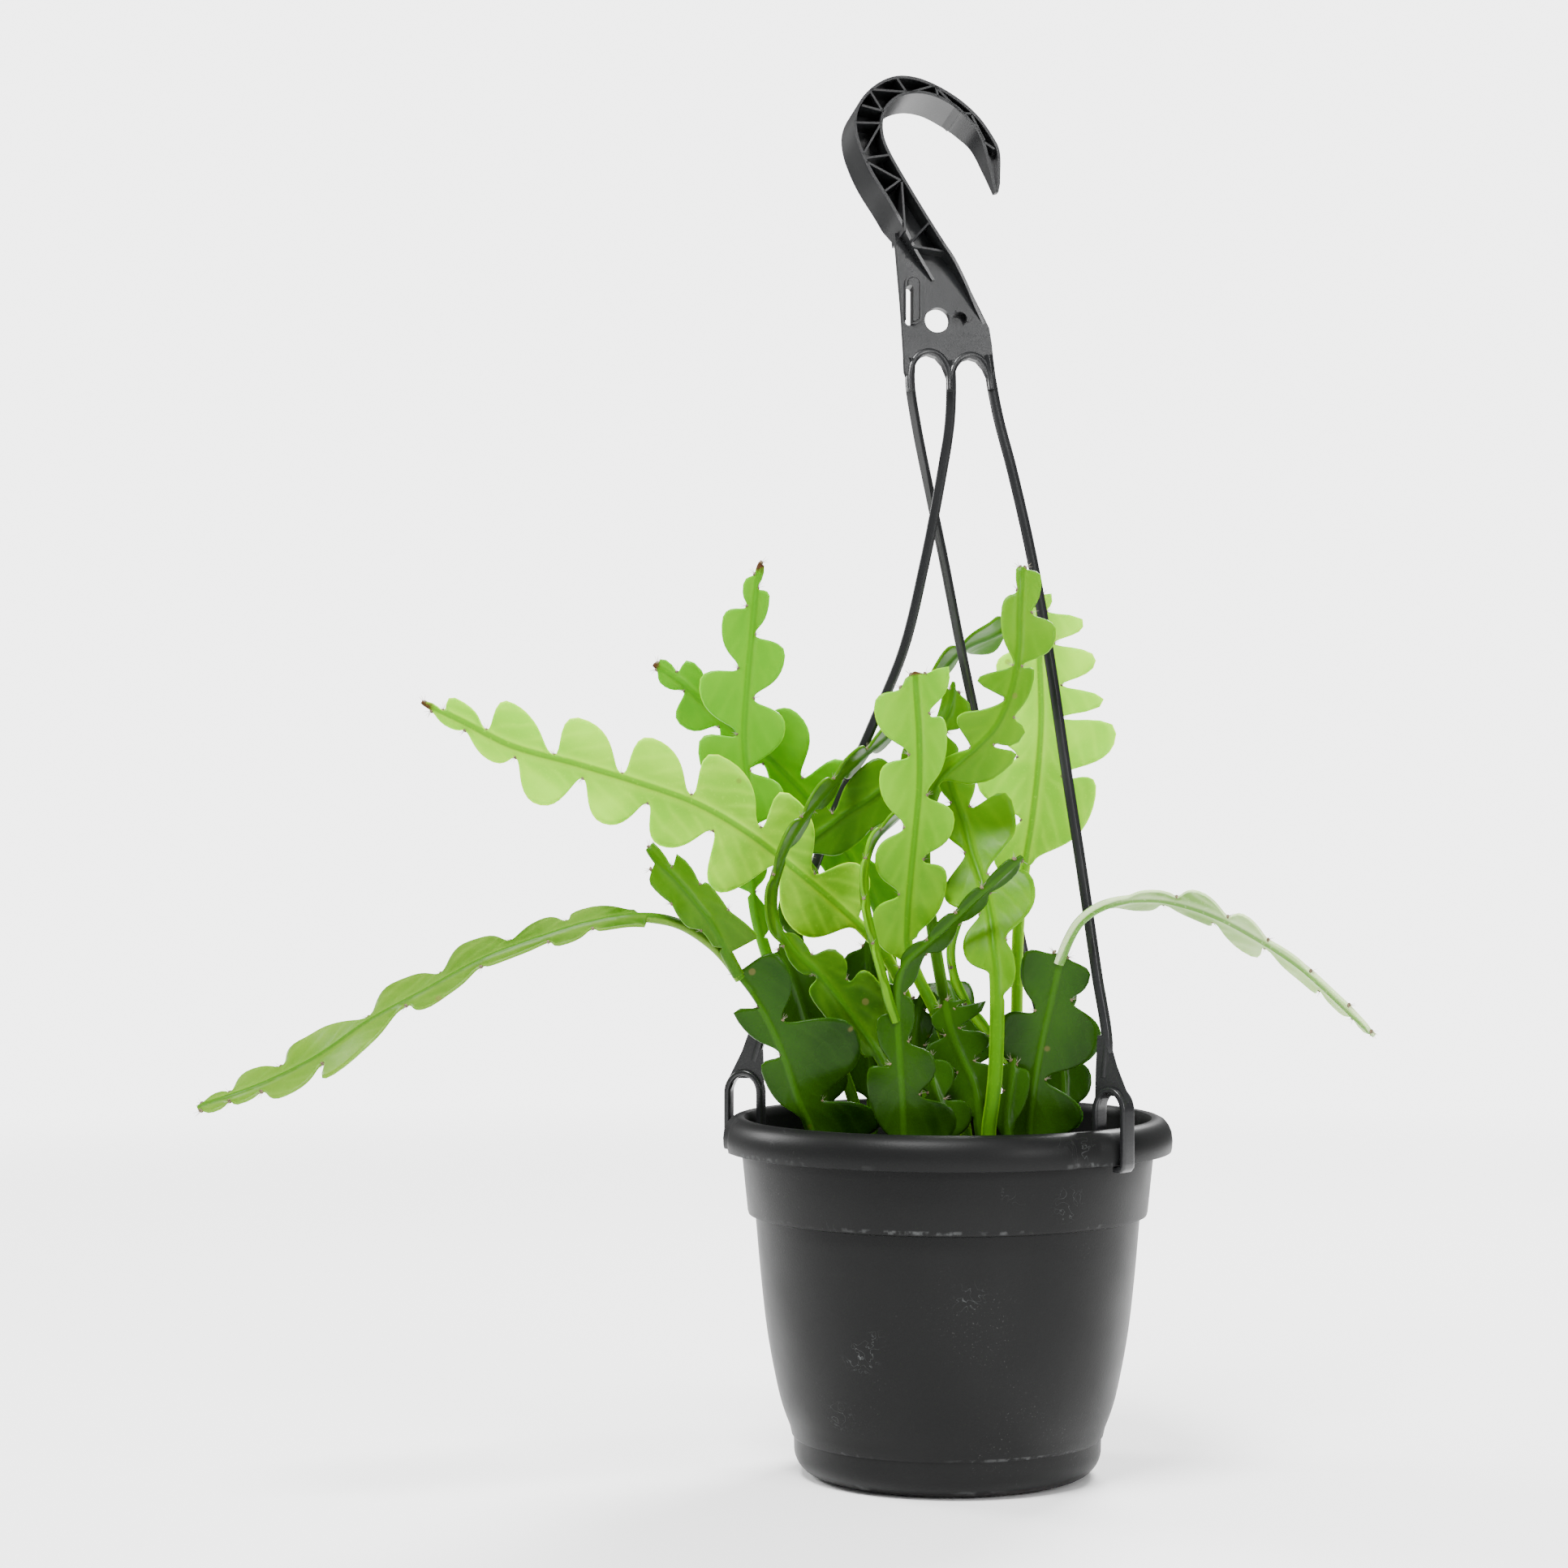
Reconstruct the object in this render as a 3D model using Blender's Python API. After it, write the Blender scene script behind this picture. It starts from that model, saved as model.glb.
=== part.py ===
"""Fishbone cactus (ric-rac orchid cactus) growing in a black plastic hanging pot.

Units are metres, +Z up. The origin is the middle of the pot's underside and the front is -Y.
Tables are in millimetres. Most routes and outlines are traced in the front view: a traced
point is (across, up) in the upright plane through the pot's axis, and its depth is how far
behind that plane the real point lies, along the line of sight. Away from the eye is positive.
"""

import math

import bmesh
import bpy
import numpy as np

MM = 0.001

# Front view: where the eye stands
EYE = np.array((-65.5, -1450.0, 276.0))

# Pot
POT_STEPS = 40
RIM_RADIUS = 90.0
RIM_TOP = 143.0
LIP_BOTTOM = 129.5
WALL = 1.6
FOOT_RADIUS = 51.0
FOOT_ROUND = 10.5
FOOT_TOP = 15.5
SHOULDER_Z = 105.0
NOTCH_AZIMUTHS = (-54.0, 66.0, 186.0)
NOTCH_HALF_ANGLE = 4.0
NOTCH_DEPTH = 1.6
NOTCH_INNER_RADIUS = 84.5
DRAIN_HOLES = 8
DRAIN_RADIUS = 4.0
DRAIN_CIRCLE = 36.0

# Soil
SOIL_TOP = 118.0
SOIL_STEPS = 22
SOIL_MOUND = 2.5
SOIL_GAP = 0.4
HOLE_RADIUS = 3.5
HOLE_DEPTH = 12.0
HOLE_SIDES = 8
REST_GAP = 0.3

# Stems
RIB_HALF = 1.9
EDGE_HALF = 0.5
STALK_HALF_WIDTH = 2.4
STALK_EDGE_HALF = 1.1
LONGEST_STEP = 13.0
TIP_HALF_WIDTH = 0.9
TIP_TAPER = 14.0
TIP_THINNEST = 0.25
BLADE_GROWS_OVER = 6.0
EDGE_ADVANCE = 0.1
RISE_FOOT = 0.30
RISE_CREST = 0.62
FALL_CREST = 0.26
FALL_FOOT = 0.16

# Hanger
HANGER_FOOT_UP = 446.0
HANGER_FOOT_DEPTH = 0.0
HANGER_LEAN = 15.0
HANGER_YAW = 15.0
HOOK_DEPTH = 19.0
WEB = 1.6
POCKET_OVERSHOOT = 4.0
FLANGE = 1.1
PLATE = 2.6
ARM_HALF = (2.2, 1.8)
ARM_STEP = 18.0
ARM_END = (81.2, 163.0)
STRAP_HALF = (1.3, 3.4)
GUSSET_HALF = 1.6
CLIP_OUTER = 92.0
CLIP_INNER = 78.3
CLIP_TOP = 158.2
CLIP_SPRING = 150.0
CLIP_AZIMUTHS = {"right": -44.0, "back": 61.0, "left": 163.0}

COLOURS = {
    "black_plastic": ((0.028, 0.030, 0.032), 0.45),
    "hanger_plastic": ((0.022, 0.022, 0.024), 0.32),
    "potting_mix": ((0.060, 0.040, 0.026), 0.95),
    "young_stem": ((0.30, 0.52, 0.07), 0.38),
    "old_stem": ((0.07, 0.22, 0.03), 0.32),
}


def sighted(across, up, depth):
    """The real point that the front view shows at (across, up), pushed back to that depth."""
    seen = np.array((across, 0.0, up))
    return EYE + (seen - EYE) * (depth - EYE[1]) / -EYE[1]


def clear_scene():
    for old in list(bpy.data.objects):
        bpy.data.objects.remove(old)


def material(name):
    made = bpy.data.materials.get(name) or bpy.data.materials.new(name)
    colour, roughness = COLOURS[name]
    made.use_nodes = True
    shader = made.node_tree.nodes["Principled BSDF"]
    shader.inputs["Base Color"].default_value = (*colour, 1.0)
    shader.inputs["Roughness"].default_value = roughness
    return made


def mesh_object(name, points, faces, finish=None):
    """A mesh object from points in millimetres."""
    mesh = bpy.data.meshes.new(name)
    mesh.from_pydata([tuple(float(c) * MM for c in p) for p in points], [], faces)
    mesh.validate()
    made = bpy.data.objects.new(name, mesh)
    bpy.context.scene.collection.objects.link(made)
    if finish:
        mesh.materials.append(material(finish))
    return made


def facing_out(obj):
    """Turns the object's faces so that they point outwards."""
    shape = bmesh.new()
    shape.from_mesh(obj.data)
    bmesh.ops.recalc_face_normals(shape, faces=shape.faces)
    shape.to_mesh(obj.data)
    shape.free()
    return obj


def shade(obj, angle=35.0):
    obj.data.shade_smooth()
    obj.data.set_sharp_from_angle(angle=math.radians(angle))
    return obj


def combine(body, others, operation):
    """Joins the others to the body, or cuts them from it, and removes them."""
    tools = bpy.data.collections.new("tools")
    bpy.context.scene.collection.children.link(tools)
    for other in others:
        bpy.context.scene.collection.objects.unlink(other)
        tools.objects.link(other)
    change = body.modifiers.new("combine", "BOOLEAN")
    change.operand_type = "COLLECTION"
    change.collection = tools
    change.operation = operation
    change.solver = "EXACT"
    bpy.context.view_layer.update()
    graph = bpy.context.evaluated_depsgraph_get()
    result = bpy.data.meshes.new_from_object(body.evaluated_get(graph))
    body.modifiers.clear()
    old = body.data
    body.data = result
    bpy.data.meshes.remove(old)
    for other in others:
        bpy.data.objects.remove(other)
    bpy.data.collections.remove(tools)
    body.data.name = body.name
    return body


# Turned pieces


def spun(name, profile, steps, finish):
    """A closed profile of (radius, z) points turned round the Z axis."""
    rings = []
    points = []
    for radius, z in profile:
        if radius < 1e-6:
            rings.append([len(points)])
            points.append((0.0, 0.0, z))
            continue
        rings.append(list(range(len(points), len(points) + steps)))
        for step in range(steps):
            angle = 2 * math.pi * step / steps
            points.append((radius * math.cos(angle), radius * math.sin(angle), z))
    faces = []
    for ring, following in zip(rings, rings[1:] + rings[:1]):
        for step in range(steps):
            after = (step + 1) % steps
            if len(ring) == 1 and len(following) == 1:
                continue
            if len(ring) == 1:
                faces.append((ring[0], following[after], following[step]))
            elif len(following) == 1:
                faces.append((ring[step], ring[after], following[0]))
            else:
                faces.append((ring[step], ring[after], following[after], following[step]))
    return facing_out(mesh_object(name, points, faces, finish))


def arc(centre, radius, start, end, count):
    """Points (r, z) on an arc, angles in degrees from +r towards +z."""
    angles = np.radians(np.linspace(start, end, count))
    return [(centre[0] + radius * math.cos(a), centre[1] + radius * math.sin(a)) for a in angles]


def pot_wall(offset):
    """The wall's (radius, z) points from the foot to under the rim, moved in by offset."""
    barrel = ((61.6, FOOT_TOP), (66.2, 27.5), (69.2, 40.0), (72.4, 58.0), (74.9, 80.0), (77.0, 103.5))
    band = ((80.1, SHOULDER_Z), (82.1, 125.0))
    return [(radius - offset, z) for radius, z in barrel + band]


def build_pot():
    """Thin-walled pot: foot, barrel, shoulder step and a rolled rim, open underneath."""
    foot = arc((FOOT_RADIUS, FOOT_ROUND), FOOT_ROUND, -90, 0, 5)
    lip = [(82.5, 139.0), (86.4, 139.4), (RIM_RADIUS - WALL, LIP_BOTTOM)]
    crown = [(RIM_RADIUS - 0.2, LIP_BOTTOM), (RIM_RADIUS, 134.0), (88.6, 139.6), (85.2, 142.6), (82.6, RIM_TOP)]
    inside_top = [(80.9, 141.4)]
    inside = [(r, z) for r, z in reversed(pot_wall(WALL))]
    floor = [(FOOT_RADIUS + 2.0, WALL + 2.4), (0.0, WALL + 0.4)]
    outside = [(0.0, 0.0)] + foot + pot_wall(0.0)
    pot = spun("pot", outside + lip + crown + inside_top + inside + floor, POT_STEPS, "black_plastic")
    for vertex in pot.data.vertices:
        x, y, z = vertex.co / MM
        radius = math.hypot(x, y)
        azimuth = math.degrees(math.atan2(y, x))
        near = min(abs((azimuth - notch + 180) % 360 - 180) for notch in NOTCH_AZIMUTHS)
        if near < NOTCH_HALF_ANGLE and radius > NOTCH_INNER_RADIUS and z > LIP_BOTTOM - 1:
            factor = (radius - NOTCH_DEPTH) / radius
            vertex.co.x *= factor
            vertex.co.y *= factor
    holes = []
    for number in range(DRAIN_HOLES):
        angle = 2 * math.pi * (number + 0.5) / DRAIN_HOLES
        middle = (DRAIN_CIRCLE * math.cos(angle), DRAIN_CIRCLE * math.sin(angle))
        holes.append(peg_cutter(middle, DRAIN_RADIUS, -5.0, 8.0))
    return shade(combine(pot, holes, "DIFFERENCE"))


def peg_cutter(middle, radius, low, high):
    """An upright prism to cut a round hole with."""
    ring = []
    for z in (low, high):
        for side in range(HOLE_SIDES):
            angle = 2 * math.pi * side / HOLE_SIDES
            ring.append((middle[0] + radius * math.cos(angle), middle[1] + radius * math.sin(angle), z))
    sides = [(s, (s + 1) % HOLE_SIDES, (s + 1) % HOLE_SIDES + HOLE_SIDES, s + HOLE_SIDES)
             for s in range(HOLE_SIDES)]
    caps = [tuple(reversed(range(HOLE_SIDES))), tuple(range(HOLE_SIDES, 2 * HOLE_SIDES))]
    return mesh_object("hole_cutter", ring, sides + caps)


def build_soil(roots):
    """Potting mix filling the pot to below the rim, with a plain hole for each rooted stem."""
    wall = [(r, z) for r, z in pot_wall(WALL + SOIL_GAP) if z < SOIL_TOP]
    edge = [(wall[-1][0] + 0.9, SOIL_TOP - 1.0), (wall[-1][0] - 3.0, SOIL_TOP)]
    crown = [(40.0, SOIL_TOP + 0.7 * SOIL_MOUND), (0.0, SOIL_TOP + SOIL_MOUND)]
    profile = [(0.0, WALL + 0.8), (FOOT_RADIUS + 1.4, WALL + 2.8)] + wall + edge + crown
    soil = spun("potting_mix", profile, SOIL_STEPS, "potting_mix")
    holes = [peg_cutter(root, HOLE_RADIUS, SOIL_TOP - HOLE_DEPTH, SOIL_TOP + 20) for root in roots]
    return combine(soil, holes, "DIFFERENCE")


# Stems


def smooth_route(points, spacing=1.0):
    """Points on a smooth curve through the given rows, every spacing millimetres or so."""
    rows = np.array(points, float)
    rows = np.vstack((2 * rows[0] - rows[1], rows, 2 * rows[-1] - rows[-2]))
    found = []
    for i in range(1, len(rows) - 2):
        before, start, end, after = rows[i - 1:i + 3]
        gaps = [max(np.linalg.norm((b - a)[:3]), 1e-6) ** 0.5
                for a, b in ((before, start), (start, end), (end, after))]
        t1 = gaps[0]
        t2 = t1 + gaps[1]
        t3 = t2 + gaps[2]
        count = max(2, int(np.linalg.norm((end - start)[:3]) / spacing))
        for t in np.linspace(t1, t2, count, endpoint=False):
            a1 = (t1 - t) / t1 * before + t / t1 * start
            a2 = (t2 - t) / (t2 - t1) * start + (t - t1) / (t2 - t1) * end
            a3 = (t3 - t) / (t3 - t2) * end + (t - t2) / (t3 - t2) * after
            b1 = (t2 - t) / t2 * a1 + t / t2 * a2
            b2 = (t3 - t) / (t3 - t1) * a2 + (t - t1) / (t3 - t1) * a3
            found.append((t2 - t) / (t2 - t1) * b1 + (t - t1) / (t2 - t1) * b2)
    found.append(rows[-2])
    return np.array(found)


class Rib:
    """A stem's midrib: its route, and at each place the way its blade spreads and faces."""

    def __init__(self, rows):
        sampled = smooth_route(rows)
        self.points = sampled[:, :3]
        turns = np.radians(sampled[:, 3])
        steps = np.linalg.norm(np.diff(self.points, axis=0), axis=1)
        self.along = np.concatenate(([0.0], np.cumsum(steps)))
        tangents = np.gradient(self.points, self.along, axis=0)
        self.tangents = tangents / np.linalg.norm(tangents, axis=1)[:, None]
        front = np.array((0.0, -1.0, 0.0))
        level = front - self.tangents * (self.tangents @ front)[:, None]
        level /= np.linalg.norm(level, axis=1)[:, None]
        side = np.cross(level, self.tangents)
        cos, sin = np.cos(turns)[:, None], np.sin(turns)[:, None]
        self.sides = cos * side + sin * level
        self.fronts = cos * level - sin * side

    @property
    def length(self):
        return self.along[-1]

    def at(self, table, s):
        s = np.clip(s, 0.0, self.length)
        return np.array([np.interp(s, self.along, table[:, k]) for k in range(3)])

    def place(self, s, reach, lift):
        """The point at distance s along the rib, reach out to the side and lift off the blade."""
        out = self.at(self.points, s)
        if s > self.length:
            out = out + self.tangents[-1] * (s - self.length)
        return out + self.at(self.sides, s) * reach + self.at(self.fronts, s) * lift

    def find(self, across, up):
        """(s, reach) of the point of the blade that the front view shows at (across, up)."""
        scale = (self.points[:, 1] - EYE[1]) / -EYE[1]
        flat = (self.points[:, (0, 2)] - EYE[[0, 2]]) / scale[:, None] + EYE[[0, 2]]
        spread = self.sides[:, (0, 2)] / scale[:, None]
        gap = np.array((across, up)) - flat
        size = np.maximum((spread ** 2).sum(1), 1e-4)
        reach = (gap * spread).sum(1) / size
        miss = np.linalg.norm(gap - spread * reach[:, None], axis=1)
        best = int(np.argmin(miss + 0.02 * np.abs(reach)))
        return self.along[best], reach[best]


def bent(start, end, leave, arrive, t):
    """The point at t on a curve from start to end that leaves and arrives level with the rib."""
    (s0, w0), (s1, w1) = start, end
    keep = 1 - t
    along = keep ** 3 * s0 + 3 * keep ** 2 * t * (s0 + leave) + 3 * keep * t ** 2 * (s1 - arrive) + t ** 3 * s1
    return along, w0 + (w1 - w0) * t * t * (3 - 2 * t)


def edge_point(knots, s, narrow):
    """(s, reach) of the edge opposite the rib's place s, for one side of the blade."""
    if not knots or s <= knots[0][0]:
        return s, narrow
    if s >= knots[-1][0]:
        return s, min(narrow, abs(knots[-1][1]))
    for number in range(0, len(knots) - 2, 2):
        (s0, w0), (sc, wc), (s1, w1) = [(place, abs(reach)) for place, reach in knots[number:number + 3]]
        if not s0 <= s <= s1:
            continue
        length = s1 - s0
        middle = min(max(0.275 * (s0 + s1) + 0.45 * sc, s0 + 0.25 * length), s1 - 0.25 * length)
        if s <= middle:
            rise = sc - s0
            return bent((s0, w0), (sc, wc), RISE_FOOT * rise, RISE_CREST * rise, (s - s0) / (middle - s0))
        t = (s - middle) / (s1 - middle)
        return bent((sc, wc), (s1, w1), FALL_CREST * length, FALL_FOOT * length, t)
    return s, narrow


def stations(rib, left, right):
    """Distances along the rib at which the blade gets a cross-section."""
    marks = {0.0, rib.length}
    for knots in (left, right):
        marks |= {round(s, 3) for s, _ in knots[::2] if 0 < s < rib.length}
        marks |= {round(0.5 * (a[0] + b[0]), 3) for a, b in zip(knots[::2], knots[2::2])}
    kept = []
    for mark in sorted(marks):
        if not kept or mark - kept[-1] > 1.2:
            kept.append(mark)
    kept[-1] = rib.length
    found = []
    for low, high in zip(kept, kept[1:]):
        bladed = left and right and high > min(left[0][0], right[0][0])
        parts = max(1, math.ceil((high - low) / (LONGEST_STEP / (2.0 if bladed else 1.0))))
        found += list(np.linspace(low, high, parts, endpoint=False))
    return found + [rib.length]


def stem_mesh(name, rib, left, right, finish=None, stalk=STALK_HALF_WIDTH):
    """A closed blade with a raised rib on both faces and a lobed edge on each side."""
    places = stations(rib, left, right)
    starts = [knots[0][0] for knots in (left, right) if knots]
    blade_from = min(starts) if starts else rib.length
    rings = []
    reached = (-1.0, -1.0)
    for s in places:
        grown = min(max((s - blade_from) / BLADE_GROWS_OVER, 0.0), 1.0)
        tip = min(max((rib.length - s) / TIP_TAPER, TIP_THINNEST), 1.0)
        thick = (RIB_HALF + 0.1 * (1 - grown)) * tip
        thin = EDGE_HALF + (STALK_EDGE_HALF - EDGE_HALF) * (1 - grown) * tip
        narrow = TIP_HALF_WIDTH + (stalk - TIP_HALF_WIDTH) * tip
        ls, lw = edge_point(left, s, narrow)
        rs, rw = edge_point(right, s, narrow)
        lw, rw = max(lw, TIP_HALF_WIDTH), max(rw, TIP_HALF_WIDTH)
        ls, rs = max(ls, reached[0] + EDGE_ADVANCE), max(rs, reached[1] + EDGE_ADVANCE)
        reached = (ls, rs)
        rings.append([
            rib.place(ls, lw, thin), rib.place(s, 0.0, thick), rib.place(rs, -rw, thin),
            rib.place(rs, -rw, -thin), rib.place(s, 0.0, -thick), rib.place(ls, lw, -thin),
        ])
    points = [point for ring in rings for point in ring]
    faces = []
    for number in range(len(rings) - 1):
        a, b = 6 * number, 6 * number + 6
        faces += [(a, b, b + 1), (a, b + 1, a + 1), (a + 1, b + 1, b + 2), (a + 1, b + 2, a + 2)]
        faces += [(a + 5, b + 4, b + 5), (a + 5, a + 4, b + 4), (a + 4, b + 3, b + 4), (a + 4, a + 3, b + 3)]
        faces += [(a + 2, b + 2, b + 3), (a + 2, b + 3, a + 3), (a + 5, b + 5, b), (a + 5, b, a)]
    last = 6 * (len(rings) - 1)
    faces += [(0, 1, 4), (0, 4, 5), (1, 2, 3), (1, 3, 4)]
    faces += [(last, last + 4, last + 1), (last, last + 5, last + 4)]
    faces += [(last + 1, last + 3, last + 2), (last + 1, last + 4, last + 3)]
    return facing_out(mesh_object(name, points, faces, finish))


def rooted(root, rows):
    """Route rows for a stem that stands in the soil at root, then passes the traced rows."""
    x, y = root
    foot = SOIL_TOP - HOLE_DEPTH + REST_GAP
    below = [(x, y, foot), (x, y, SOIL_TOP - 5.0), (x, y, SOIL_TOP + 1.0)]
    turn = rows[0][3] if len(rows[0]) > 3 else 0.0
    return [(*p, turn) for p in below] + traced(rows)


def traced(rows):
    """Route rows (x, y, z, turn) from rows traced as (across, up, depth, turn)."""
    found = []
    for row in rows:
        turn = row[3] if len(row) > 3 else 0.0
        found.append((*sighted(*row[:3]), turn))
    return found


def swung(rib, start, lobes, reach, lead=0.0):
    """Sinus and crest places for an edge with evenly growing or shrinking lobes.

    lobes is how many, reach gives the crest's reach at the first and last lobe.
    """
    length = (rib.length - start - lead) / lobes
    knots = [(start + lead, STALK_HALF_WIDTH)]
    for number in range(lobes):
        share = number / max(lobes - 1, 1)
        out = reach[0] + (reach[1] - reach[0]) * share
        low = start + lead + number * length
        knots += [(low + 0.58 * length, out), (low + length, min(0.34 * out, 3.2))]
    return knots


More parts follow.
